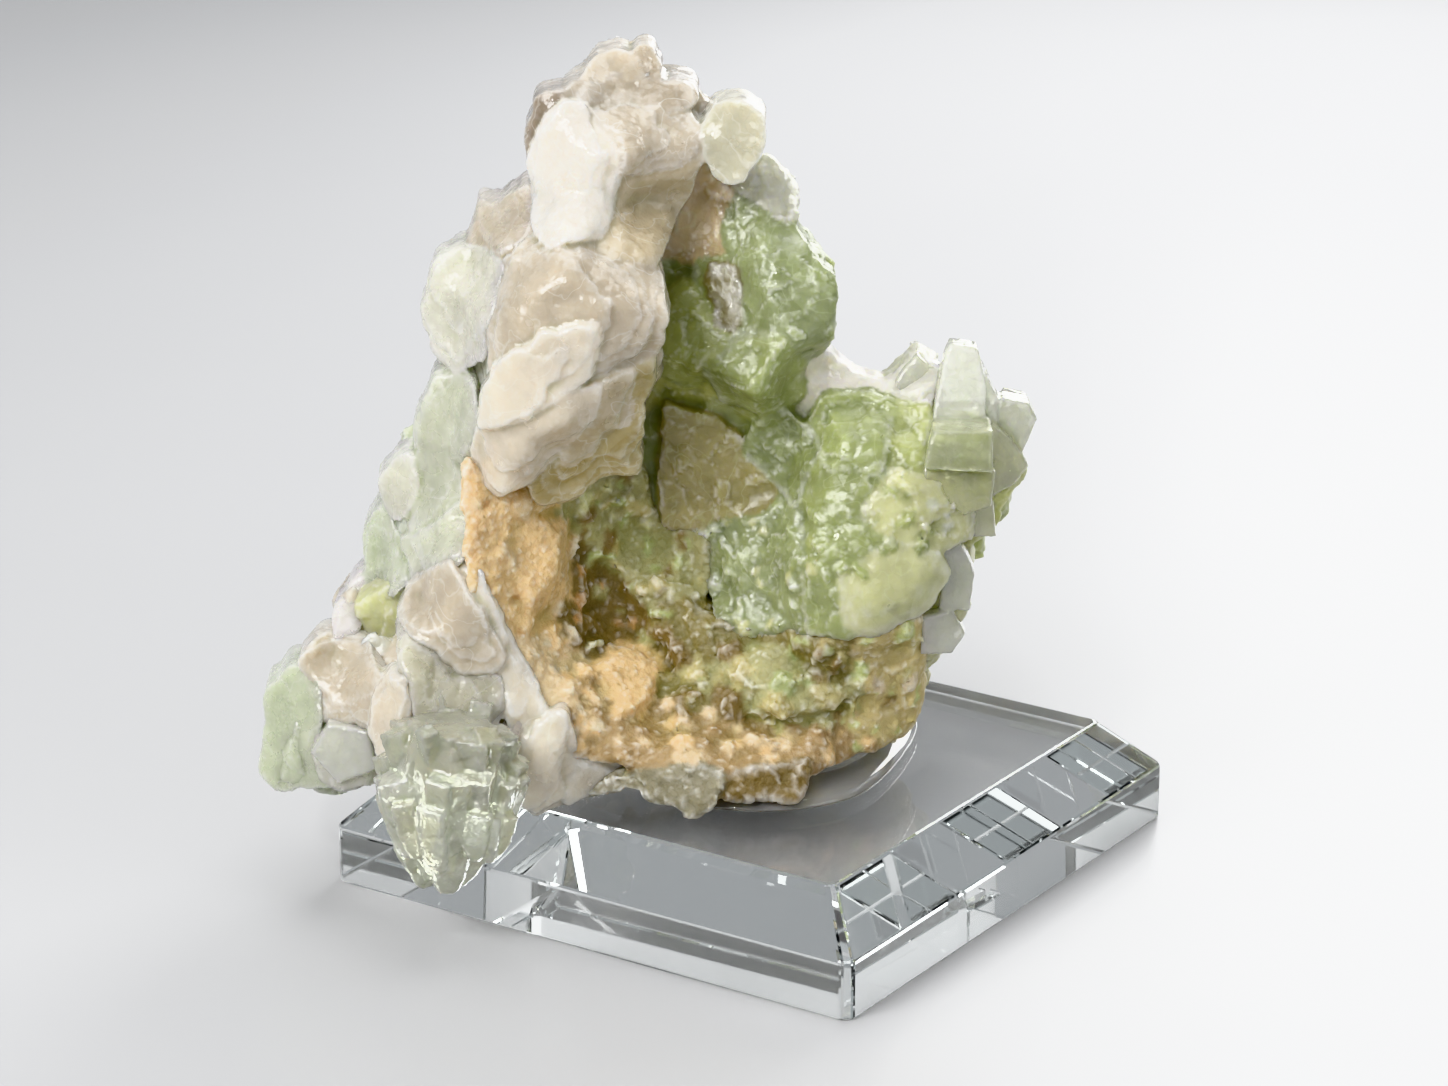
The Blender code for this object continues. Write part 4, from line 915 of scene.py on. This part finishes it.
def grow(name, sources, voxel, seed):
    """Grows closed shapes together into one skin; each part keeps its own shape's tint, with painted shade in
    its crevices, painted highlights on its rims and painted glints on small faces.
    """
    points, triangles, owner = join_arrays(sources)
    tree = BVHTree.FromPolygons(points.tolist(), triangles.tolist(), all_triangles=True)
    thing = bpy.data.objects.new(name, mesh_of(name, points, triangles))
    bpy.context.collection.objects.link(thing)
    deselect_all()
    bpy.context.view_layer.objects.active = thing
    thing.select_set(True)
    join = thing.modifiers.new("grown together", "REMESH")
    join.mode = "VOXEL"
    join.voxel_size = voxel
    bpy.ops.object.modifier_apply(modifier=join.name)
    corners = thing.modifiers.new("corners", "TRIANGULATE")
    bpy.ops.object.modifier_apply(modifier=corners.name)
    mesh = thing.data
    count = len(mesh.vertices)
    skin = np.empty(count * 3)
    mesh.vertices.foreach_get("co", skin)
    skin = skin.reshape(-1, 3)
    faces = np.empty(len(mesh.loops), dtype=np.int32)
    mesh.loops.foreach_get("vertex_index", faces)
    faces = faces.reshape(-1, 3)
    edges = np.empty(len(mesh.edges) * 2, dtype=np.int32)
    mesh.edges.foreach_get("vertices", edges)
    edges = edges.reshape(-1, 2)

    found = np.array([tree.find_nearest(p)[2] for p in skin])
    nearest = owner[found]
    finishes = sorted(ROUGHNESS)
    kinds = np.array([finishes.index(s[3]) for s in sources])[nearest]
    tints = np.concatenate([np.broadcast_to(s[2], (len(s[1]), 3)) for s in sources])
    colors = tints[found]
    colors = 0.6 * colors + 0.4 * neighbour_mean(colors, edges)

    normals = vertex_normals(skin, faces)
    height = np.zeros(count)
    for index, finish in enumerate(finishes):
        (swell, swell_size), (face, face_size), (grain, grain_size) = ROUGHNESS[finish]
        mine = (kinds == index).astype(float)
        if not mine.any():
            continue
        for _ in range(3):
            mine = 0.4 * mine + 0.6 * neighbour_mean(mine, edges)
        rise = swell * soft_noise(skin, swell_size, seed) - 0.25 * swell
        rise += face * crystal_steps(skin, normals, face_size, seed + 11)
        rise += 0.4 * face * crystal_steps(skin, normals, face_size * 0.45, seed + 23)
        if grain:
            rise += grain * granules(skin, grain_size, seed + 31)
        height += mine * rise
    skin = skin + normals * height[:, None]
    skin = over_the_block(skin)

    normals = vertex_normals(skin, faces)
    bulge = np.einsum("ij,ij->i", normals, skin - neighbour_mean(skin, edges)) / voxel
    wide = bulge
    for _ in range(4):
        wide = neighbour_mean(wide, edges)
    # Painted light: convex rims get a painted highlight, crevices get painted shade
    rim = np.clip(bulge * 4.0 - 0.25, 0, 1)[:, None]
    crevice_shade = np.clip(-wide * 9.0 - 0.1, 0, 1)[:, None]
    mottle_and_glint = 1 + 0.09 * soft_noise(skin, 3.0, seed + 5) + 0.07 * soft_noise(skin, 1.1, seed + 6)
    # Painted glints: each small face is painted its own brightness, on top of the mottle
    _, own = nearest_grain(skin, GLINTS, seed + 40)
    glint = np.array([GLINT_SHARE.get(finish, 0.05) for finish in finishes])[kinds]
    mottle_and_glint = mottle_and_glint * (1 + glint * (2 * own[:, 1] - 0.9))
    colors = colors * mottle_and_glint[:, None]
    # Painted shade in the crevices, darker and greener; then a painted highlight on the rims
    colors = colors * (1 - 0.25 * crevice_shade) * (1 - crevice_shade * np.array((0.06, 0.0, 0.2)))
    colors = colors + (0.95 - colors) * rim * 0.3
    mesh.vertices.foreach_set("co", to_world(skin).astype(np.float32).ravel())
    paint(mesh, "tint", colors)
    mesh.update()
    bpy.context.collection.objects.unlink(thing)
    bpy.data.objects.remove(thing)
    return mesh


def prism(base, tip, base_width, tip_width, turn, tint):
    """A square crystal that ends in a cut-off pyramid, its corners cut more to the tip."""
    base, tip = np.array(base, dtype=float), np.array(tip, dtype=float)
    axis = Vector(tip - base)
    frame_turn = np.array(axis.to_track_quat("Z", "Y").to_matrix()
                          @ Matrix.Rotation(math.radians(turn), 3, "Z"))
    rings = []
    levels = [(0.0, base_width, 0.06), (SHOULDER, base_width * 0.98, 0.07),
              (0.86, base_width * 0.5 + tip_width * 0.5, 0.2), (1.0, tip_width, 0.26)]
    for along, width, cut in levels:
        half = width / 2
        inner = half * (1 - 2 * cut)
        corners = [(inner, -half), (half, -inner), (half, inner), (inner, half),
                   (-inner, half), (-half, inner), (-half, -inner), (-inner, -half)]
        for x, y in corners:
            rings.append(base + frame_turn @ np.array((x, y, axis.length * along)))
    points = np.array(rings)
    faces = []
    for level in range(len(levels) - 1):
        for i in range(8):
            j = (i + 1) % 8
            a, b = level * 8 + i, level * 8 + j
            faces += [(a, b, b + 8), (a, b + 8, a + 8)]
    top = (len(levels) - 1) * 8
    faces += [(top, top + i, top + i + 1) for i in range(1, 7)]
    faces += [(0, i + 1, i) for i in range(1, 7)]
    return points, np.array(faces), np.tile(TINT[tint], (len(points), 1))


class Socket:
    """A value in a material's nodes. Arithmetic on it adds the Math nodes."""

    def __init__(self, recipe, output):
        self.recipe = recipe
        self.output = output

    def math(self, operation, first, second):
        return self.recipe.node("ShaderNodeMath", {"operation": operation}, {0: first, 1: second})

    def __add__(self, other):
        return self.math("ADD", self, other)

    def __mul__(self, other):
        return self.math("MULTIPLY", self, other)

    def __sub__(self, other):
        return self.math("SUBTRACT", self, other)

    def __rsub__(self, other):
        return self.math("SUBTRACT", other, self)

    __radd__ = __add__
    __rmul__ = __mul__


class Recipe:
    """A material: constants on the Principled shader, and nodes for what varies."""

    def __init__(self, name, constants):
        self.material = bpy.data.materials.new(name)
        self.material.use_nodes = True
        self.tree = self.material.node_tree
        self.shader = self.tree.nodes["Principled BSDF"]
        for key, value in constants.items():
            self.shader.inputs[key].default_value = value
        self.place = self.node("ShaderNodeTexCoord", output="Object")

    def node(self, kind, settings=None, inputs=None, output=0):
        node = self.tree.nodes.new(kind)
        for key, value in (settings or {}).items():
            setattr(node, key, value)
        for key, value in (inputs or {}).items():
            if isinstance(value, Socket):
                self.tree.links.new(value.output, node.inputs[key])
            else:
                node.inputs[key].default_value = value
        return Socket(self, node.outputs[output])

    def noise(self, scale, detail=3.0, roughness=0.5, stretch=None):
        place = self.place
        if stretch:
            place = self.node("ShaderNodeMapping", inputs={"Vector": place, "Scale": stretch})
        return self.node("ShaderNodeTexNoise", inputs={
            "Vector": place, "Scale": scale, "Detail": detail, "Roughness": roughness})

    def veils(self, scale, width, warp=0.5):
        """Faint wandering lines like healed cracks: 1 on a line, 0 away from it."""
        field = self.node("ShaderNodeTexNoise", inputs={
            "Vector": self.place, "Scale": scale, "Detail": 3.0, "Distortion": warp})
        away = self.math_of("ABSOLUTE", field - 0.5)
        return self.node("ShaderNodeMapRange", inputs={
            "Value": away, "From Min": 0.0, "From Max": width, "To Min": 1.0, "To Max": 0.0})

    def math_of(self, operation, value):
        return self.node("ShaderNodeMath", {"operation": operation}, {0: value})

    def facets(self, scale, lean=1.0):
        """Small flat faces side by side, each leaning its own way: heights in metres."""
        cells = {"Vector": self.place, "Scale": scale}
        middle = self.node("ShaderNodeTexVoronoi", inputs=cells, output="Position")
        own = self.node("ShaderNodeTexVoronoi", inputs=cells, output="Color")
        away = self.node("ShaderNodeVectorMath", {"operation": "SUBTRACT"}, {0: self.place, 1: middle})
        way = self.node("ShaderNodeVectorMath", {"operation": "SUBTRACT"}, {0: own, 1: (0.5, 0.5, 0.5)})
        return self.node("ShaderNodeVectorMath", {"operation": "DOT_PRODUCT"},
                         {0: away, 1: way}, output="Value") * lean

    def lighten(self, color, amount, toward=(0.92, 0.92, 0.88, 1.0)):
        return self.node("ShaderNodeMix", {"data_type": "RGBA"},
                         {0: amount, 6: color, 7: toward}, output=2)

    def tinted(self, strength=0.16, scale=700.0):
        """The painted tint, mottled a little."""
        tint = self.node("ShaderNodeAttribute", {"attribute_name": "tint"}, output="Color")
        value = 1 - strength + self.noise(scale, 4.0, 0.6) * (2 * strength)
        grey = self.node("ShaderNodeCombineColor", inputs={0: value, 1: value, 2: value})
        return self.node("ShaderNodeMix", {"data_type": "RGBA", "blend_type": "MULTIPLY"},
                         {0: 1.0, 6: tint, 7: grey}, output=2)

    def connect(self, name, value):
        self.tree.links.new(value.output, self.shader.inputs[name])

    def bump(self, height, strength=1.0):
        """Raises the surface by a height in metres."""
        self.connect("Normal", self.node("ShaderNodeBump", inputs={
            "Height": height, "Strength": strength, "Distance": 1.0}))

    def absorb(self, color, density):
        """Light that goes through is tinted by the way it travels."""
        volume = self.tree.nodes.new("ShaderNodeVolumeAbsorption")
        volume.inputs["Color"].default_value = (*color, 1)
        volume.inputs["Density"].default_value = density
        output = self.tree.nodes["Material Output"]
        self.tree.links.new(volume.outputs[0], output.inputs["Volume"])


def stilbite_finish():
    """Pearly, faintly streaked and scaly, and waxy through and through."""
    recipe = Recipe("stilbite", {
        "Subsurface Weight": 0.85, "Subsurface Radius": (1.0, 0.9, 0.75),
        "Subsurface Scale": 0.0035, "IOR": 1.5, "Transmission Weight": 0.22,
        "Coat Weight": 0.6, "Coat Roughness": 0.08,
    })
    veils = recipe.veils(160, 0.012) * recipe.noise(150, 2.0)
    recipe.connect("Base Color", recipe.lighten(recipe.tinted(0.09, 420), veils * 0.5))
    recipe.connect("Roughness", 0.08 + recipe.noise(300, 3.0) * 0.3)
    scales = recipe.facets(560, 0.24) + recipe.facets(1400, 0.16)
    streaks = recipe.noise(420, 3.0, 0.6, (1.0, 1.0, 0.22)) * 0.00022
    recipe.bump(scales + streaks + recipe.noise(900, 4.0, 0.65) * 0.00006)
    return recipe.material


def clear_blade_finish():
    """Icy to mint, glassier than the cream blades."""
    recipe = Recipe("clear stilbite", {
        "Subsurface Weight": 0.8, "Subsurface Radius": (0.9, 1.0, 0.8),
        "Subsurface Scale": 0.0045, "IOR": 1.5, "Transmission Weight": 0.35,
        "Coat Weight": 0.5, "Coat Roughness": 0.05,
    })
    veils = recipe.veils(150, 0.014) * recipe.noise(130, 2.0)
    recipe.connect("Base Color", recipe.lighten(recipe.tinted(0.13, 450), veils * 0.6))
    recipe.connect("Roughness", 0.12 + recipe.noise(420, 3.0) * 0.3)
    streaks = recipe.noise(420, 3.0, 0.6, (1.0, 1.0, 0.25)) * 0.0002
    recipe.bump(streaks + recipe.facets(300, 0.22) + recipe.facets(1000, 0.16)
                + recipe.noise(700, 4.0, 0.6) * 0.00008)
    return recipe.material


def green_finish():
    """Glassy to waxy green with light in its depth."""
    recipe = Recipe("green apophyllite", {
        "Subsurface Weight": 0.85, "Subsurface Radius": (0.9, 1.0, 0.5),
        "Subsurface Scale": 0.004, "IOR": 1.535, "Transmission Weight": 0.3,
        "Coat Weight": 0.25, "Coat Roughness": 0.06,
    })
    veils = recipe.veils(150, 0.014) * recipe.noise(140, 2.0)
    recipe.connect("Base Color", recipe.lighten(
        recipe.tinted(0.2, 300), veils * 0.4, (0.72, 0.78, 0.5, 1)))
    recipe.connect("Roughness", 0.2 + recipe.noise(500, 3.0) * 0.3)
    recipe.bump(recipe.facets(300, 0.26) + recipe.facets(900, 0.18)
                + recipe.noise(800, 4.0, 0.6) * 0.00012)
    return recipe.material


def crust_finish():
    """Dry and sugary, sand to rust."""
    recipe = Recipe("tan crust", {
        "Subsurface Weight": 0.6, "Subsurface Radius": (1.0, 0.8, 0.5),
        "Subsurface Scale": 0.0025, "IOR": 1.5,
    })
    recipe.connect("Base Color", recipe.tinted(0.16, 620))
    recipe.connect("Roughness", 0.35 + recipe.noise(900, 3.0) * 0.35)
    recipe.bump(recipe.facets(1400, 0.5) + recipe.noise(1300, 4.0, 0.65) * 0.00026)
    return recipe.material


def crystal_finish(name, transmission, subsurface, roughness, lean):
    """Small bright crystals, partly see-through."""
    recipe = Recipe(name, {
        "Subsurface Weight": subsurface, "Subsurface Radius": (0.9, 1.0, 0.7),
        "Subsurface Scale": 0.004, "IOR": 1.535, "Transmission Weight": transmission,
        "Coat Weight": 0.6, "Coat Roughness": 0.03,
    })
    recipe.connect("Base Color", recipe.lighten(
        recipe.tinted(0.16, 420), recipe.noise(240, 4.0, 0.7) * 0.5))
    recipe.connect("Roughness", roughness + recipe.noise(700, 2.0) * 0.12)
    streaks = recipe.noise(520, 3.0, 0.6, (1.0, 1.0, 0.2)) * 0.00014
    recipe.bump(streaks + recipe.facets(450, lean) + recipe.facets(1200, lean * 0.6))
    return recipe.material


def clear_finish(name, color, density, roughness, ior, milky=0.0):
    recipe = Recipe(name, {
        "Base Color": (1, 1, 1, 1), "IOR": ior, "Transmission Weight": 1.0 - milky,
    })
    recipe.connect("Roughness", roughness + recipe.noise(60, 2.0) * 0.02)
    recipe.absorb(color, density)
    return recipe.material


def floor_finish():
    recipe = Recipe("pale floor", {"Specular IOR Level": 0.4})
    shade = recipe.node("ShaderNodeMix", {"data_type": "RGBA"}, {
        0: recipe.noise(6, 2.0), 6: (0.44, 0.44, 0.445, 1), 7: (0.47, 0.47, 0.475, 1)}, output=2)
    recipe.connect("Base Color", shade)
    recipe.connect("Roughness", 0.34 + recipe.noise(40, 2.0) * 0.05)
    return recipe.material


def add_camera():
    lens = bpy.data.cameras.new("camera")
    lens.sensor_width = 36.0
    lens.lens = CAMERA_LENS
    lens.clip_start = 0.01
    camera = bpy.data.objects.new("camera", lens)
    bpy.context.collection.objects.link(camera)
    camera.location = CAMERA_PLACE
    camera.rotation_euler = (math.pi / 2 - CAMERA_ELEVATION, 0, CAMERA_AZIMUTH)
    bpy.context.scene.camera = camera


def add_light(name, u, v, z, width, height, power, color=(1, 1, 1), aim=(-10, 0, 45)):
    """A softbox at a place in the specimen's frame, in millimetres, that faces the specimen."""
    light = bpy.data.lights.new(name, "AREA")
    light.shape = "RECTANGLE"
    light.size, light.size_y = width * MM, height * MM
    light.energy = power
    light.color = color
    lamp = bpy.data.objects.new(name, light)
    bpy.context.collection.objects.link(lamp)
    place = Vector(to_world(np.array([(u, v, z)], dtype=float))[0])
    target = Vector(to_world(np.array([aim], dtype=float))[0])
    lamp.location = place
    lamp.rotation_euler = (target - place).to_track_quat("-Z", "Y").to_euler()


def add_surroundings():
    world = bpy.data.worlds.new("pale room")
    world.use_nodes = True
    world.node_tree.nodes["Background"].inputs["Color"].default_value = (0.9, 0.93, 0.96, 1)
    world.node_tree.nodes["Background"].inputs["Strength"].default_value = 0.42
    bpy.context.scene.world = world
    add_light("key", -350, -330, 420, 260, 260, 3.5)
    add_light("top", 0, 60, 520, 420, 300, 1.2)
    add_light("sparkle", -160, -420, 330, 32, 32, 0.65)
    add_light("fill", 420, -300, 200, 300, 300, 0.5)
    add_light("back_glow", 190, 380, 220, 260, 260, 2.2)
    paths = bpy.context.scene.cycles
    paths.max_bounces = paths.transmission_bounces = 20
    paths.glossy_bounces = 16
    bpy.context.scene.view_settings.view_transform = "Khronos PBR Neutral"
    deselect_all()
    bpy.ops.mesh.primitive_plane_add(size=6.0, location=(0, 0, -FLOOR_DROP))
    bpy.ops.object.transform_apply(location=True)
    floor = bpy.context.object
    floor.name = "floor"
    floor.data.materials.append(floor_finish())


def make_block():
    """The square clear block, with its sloping upper edges and fine worn edges."""
    deselect_all()
    bpy.ops.mesh.primitive_cube_add(size=1, location=(0, 0, BASE_WALL_HEIGHT * MM / 2))
    block = bpy.context.object
    block.name = "acrylic_block"
    bpy.ops.object.mode_set(mode="EDIT")
    bpy.ops.mesh.select_mode(type="EDGE")
    bpy.ops.mesh.select_all(action="SELECT")
    centre = (0, 0, BASE_WALL_HEIGHT * MM / 2)
    size = (BASE_SIDE * MM, BASE_SIDE * MM, BASE_WALL_HEIGHT * MM)
    bpy.ops.transform.resize(value=size, center_override=centre)
    cage = bmesh.from_edit_mesh(block.data)
    for edge in cage.edges:
        edge.select_set(abs(edge.verts[0].co.z - edge.verts[1].co.z) > MM)
    bmesh.update_edit_mesh(block.data)
    bpy.ops.mesh.bevel(offset=BASE_CORNER_CUT * MM, segments=1, affect="EDGES")
    pick_verts(block, lambda co: co.z > 0)
    bpy.ops.mesh.select_mode(type="FACE")
    rise = (BASE_HEIGHT - BASE_WALL_HEIGHT) * MM
    bpy.ops.mesh.extrude_region_move(TRANSFORM_OT_translate={"value": (0, 0, rise)})
    shrink = 1 - 2 * BASE_BEVEL_INSET / BASE_SIDE
    bpy.ops.transform.resize(value=(shrink, shrink, 1), center_override=(0, 0, BASE_HEIGHT * MM))
    bpy.ops.object.mode_set(mode="OBJECT")
    bpy.ops.object.transform_apply(location=True, rotation=True, scale=True)
    corners = block.modifiers.new("corner cut", "BEVEL")
    corners.width = 0.3 * MM
    corners.segments = 2
    corners.limit_method = "ANGLE"
    corners.angle_limit = math.radians(20)
    bpy.ops.object.modifier_apply(modifier=corners.name)
    block.data.materials.append(clear_finish("clear acrylic", (0.86, 0.95, 0.93), 3.0, 0.0, 1.49))
    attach(block, "root")
    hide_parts("acrylic_base")


def make_gel():
    """The clear flattened dome that holds the specimen, its rim rounded."""
    outline = np.array(PAD_OUTLINE, dtype=float)
    rings = []
    for height, scale in PAD_RINGS + [(PAD_CROWN, 0.3)]:
        ring = np.array(PAD_CENTRE) + (outline - PAD_CENTRE) * scale
        rings.append(np.column_stack((ring, np.full(len(ring), BASE_HEIGHT + 0.3 + height))))
    shape = bmesh.new()
    loops = [[shape.verts.new(p) for p in to_world(ring)] for ring in rings]
    count = len(outline)
    shape.faces.new(list(reversed(loops[0])))
    for lower, upper in zip(loops, loops[1:]):
        for i in range(count):
            j = (i + 1) % count
            shape.faces.new((lower[i], lower[j], upper[j], upper[i]))
    shape.faces.new(loops[-1])
    mesh = bpy.data.meshes.new("gel_dome")
    shape.to_mesh(mesh)
    shape.free()
    gel = add_piece("gel_dome", mesh, clear_finish("clear gel", (0.95, 0.97, 0.96), 4.0, 0.03, 1.43, 0.15),
                    True)
    deselect_all()
    bpy.context.view_layer.objects.active = gel
    gel.select_set(True)
    smooth = gel.modifiers.new("smooth", "SUBSURF")
    smooth.levels = smooth.render_levels = 2
    bpy.ops.object.modifier_apply(modifier=smooth.name)
    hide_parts("mounting_pad")


def hanging_crystals():
    """The crystal that hangs beside the block: its body, and lesser ones grown along it."""
    rng = random.Random(3)
    points = []
    for z, half_u, half_v in PENDANT_RINGS:
        for i in range(PENDANT_SIDES):
            angle = math.tau * (i + PENDANT_TURN) / PENDANT_SIDES
            points.append((PENDANT_AXIS[0] + 0.94 * half_u * math.cos(angle),
                           PENDANT_AXIS[1] + 0.94 * half_v * math.sin(angle), z))
    faces = []
    for level in range(len(PENDANT_RINGS) - 1):
        for i in range(PENDANT_SIDES):
            j = (i + 1) % PENDANT_SIDES
            a, b = level * PENDANT_SIDES + i, level * PENDANT_SIDES + j
            faces += [(a, a + PENDANT_SIDES, b), (b, a + PENDANT_SIDES, b + PENDANT_SIDES)]
    low = (len(PENDANT_RINGS) - 1) * PENDANT_SIDES
    faces += [(0, i, i + 1) for i in range(1, PENDANT_SIDES - 1)]
    faces += [(low, low + i + 1, low + i) for i in range(1, PENDANT_SIDES - 1)]
    parts = [(np.array(points), np.array(faces), np.tile(TINT["mint"], (len(points), 1)))]
    heights = [ring[0] for ring in PENDANT_RINGS]
    order = np.argsort(heights)
    for _ in range(PENDANT_SMALL):
        z = rng.uniform(min(heights) + 1.5, max(heights) - 1)
        half_u = np.interp(z, np.array(heights)[order], np.array([r[1] for r in PENDANT_RINGS])[order])
        half_v = np.interp(z, np.array(heights)[order], np.array([r[2] for r in PENDANT_RINGS])[order])
        angle = rng.uniform(0, math.tau)
        wide = rng.uniform(1.9, 3.8)
        out = 1 - 0.45 * wide / half_u
        spot = np.array((PENDANT_AXIS[0] + half_u * out * math.cos(angle),
                         PENDANT_AXIS[1] + half_v * out * math.sin(angle), z))
        lean = (-0.25 * math.cos(angle) + rng.uniform(-0.12, 0.12),
                -0.25 * math.sin(angle) + rng.uniform(-0.12, 0.12), -1)
        tip = spot + np.array(lean) * rng.uniform(3.0, 7.0)
        tip[2] = max(tip[2], min(heights))
        parts.append(prism(spot - np.array(lean) * 2.5, tip, wide, wide * rng.uniform(0.3, 0.7),
                           30 + rng.uniform(-12, 12), rng.choice(("sea", "mint", "frost", "haze"))))
    return parts


def buds(patterns, seed):
    """Blocks crowded on the body's lumps, each turned its own way."""
    rng = random.Random(seed)
    sources = []
    for number, count, size, tints in BUDS:
        centre, radii, finish, _ = CORE[number]
        for direction in even_directions(count, rng.uniform(0, 6)):
            if direction.y < BUD_FRONT and finish != "druse":
                continue
            way = (direction + Vector(rng.uniform(-0.25, 0.25) for _ in range(3))).normalized()
            spot = tuple(c + 0.93 * r * d for c, r, d in zip(centre, radii, way))
            if deep_in_the_body(spot, number) or spot[2] < FOOT:
                continue
            big = rng.uniform(*size)
            axes = np.array([big * rng.uniform(0.7, 1.25) for _ in range(3)])
            points, triangles = rng.choice(patterns)
            spin = np.array(Matrix.Rotation(rng.uniform(0, 6.3), 3, Vector(
                rng.uniform(-1, 1) for _ in range(3)).normalized()))
            sources.append(((points * axes) @ spin.T + spot, triangles,
                            TINT[rng.choice(tints)], finish))
    return sources


def deep_in_the_body(spot, own):
    for number, (centre, radii, _, _) in enumerate(CORE):
        if number != own and sum(((p - c) / r) ** 2 for p, c, r in zip(spot, centre, radii)) < 0.7:
            return True
    return False


# Buds leave the front to the slabs
BUD_FRONT = -0.3
# Crystals that are one with a grown piece, by their number in CRYSTALS
GROWN_IN = {"green": (1, 3, 7, 8, 9, 10, 11), "clear": (24, 25)}
CRISP = (19, 20, 21, 22, 23)


def make_specimen():
    lumps = [model_lump(20, seed + 10, (0.8, 0.98)) for seed in range(5)]
    blocky = [model_lump(9, seed + 20, (0.62, 0.9)) for seed in range(6)]
    flakes = [model_flake(seed) for seed in range(3)]

    core = [lump_source(lumps[i % 5], centre, radii, tint, finish, i * 1.7)
            for i, (centre, radii, finish, tint) in enumerate(CORE)]
    nodules = [lump_source(lumps[i % 5], centre, radii, tint, finish, i * 2.3)
               for i, (centre, radii, finish, tint) in enumerate(NODULES)]
    crowd = buds(blocky, 31)
    front = {"pearly": [], "clear": [], "green": [], "body": []}
    leaves = {"pearly": [], "clear": []}
    for i, slab in enumerate(SLABS):
        if slab[1] in leaves and slab[2] != "crystal":
            leaves[slab[1]] += blade_leaves(slab, i + 1)
        elif slab[2] != "crystal":
            front[slab[1]] += slab_sources(slab, i + 1, blocky, flakes)

    prisms = [prism(*crystal) for crystal in CRYSTALS]
    for place, numbers in GROWN_IN.items():
        front[place] += [(*prisms[i][:2], prisms[i][2][0], "apophyllite") for i in numbers]

    body = [s for s in core + crowd if s[3] in ("druse", "crust")]
    body += [n for n in nodules if n[3] == "druse"] + front["body"]
    mesh = grow("matrix_body", body, 0.5, 1)
    thing = add_piece("matrix_body", mesh, crust_finish(), True)
    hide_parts("specimen")

    stilbite = [s for s in core + nodules + crowd if s[3] == "stilbite"]
    pearly = stilbite_finish()
    mesh = grow("stilbite_growths", stilbite, 0.45, 2)
    add_piece("stilbite_growths", mesh, pearly, True)
    mesh = grow("stilbite_blades", leaves["pearly"], 0.28, 12)
    add_piece("stilbite_blades", mesh, pearly, True)
    clear = clear_blade_finish()
    mesh = grow("clear_blades", leaves["clear"], 0.26, 14)
    add_piece("clear_blades", mesh, clear, True)
    mesh = grow("arm_growths", front["clear"], 0.4, 8)
    add_piece("arm_growths", mesh, clear, True)

    green = [s for s in core + nodules + crowd if s[3] == "apophyllite"] + front["green"]
    mesh = grow("green_growths", green, 0.4, 3)
    add_piece("green_growths", mesh, green_finish(), True)
    gem = [(p, f, c[0], "gem") for p, f, c in hanging_crystals()]
    mesh = grow("hanging_crystal", gem, 0.28, 9)
    add_piece("hanging_crystal", mesh, crystal_finish("hanging crystal", 0.72, 0.6, 0.02, 0.1),
              True)
    crisp = [crystal_body(slab) for slab in SLABS if slab[2] == "crystal"]
    crisp = [(p, f, c[0], "crisp") for p, f, c in crisp + [prisms[i] for i in CRISP]]
    mesh = grow("clear_crystals", crisp, 0.24, 10)
    add_piece("clear_crystals", mesh, crystal_finish("clear crystals", 0.6, 0.7, 0.03, 0.1),
              True)


add_camera()
add_surroundings()
make_block()
make_gel()
make_specimen()
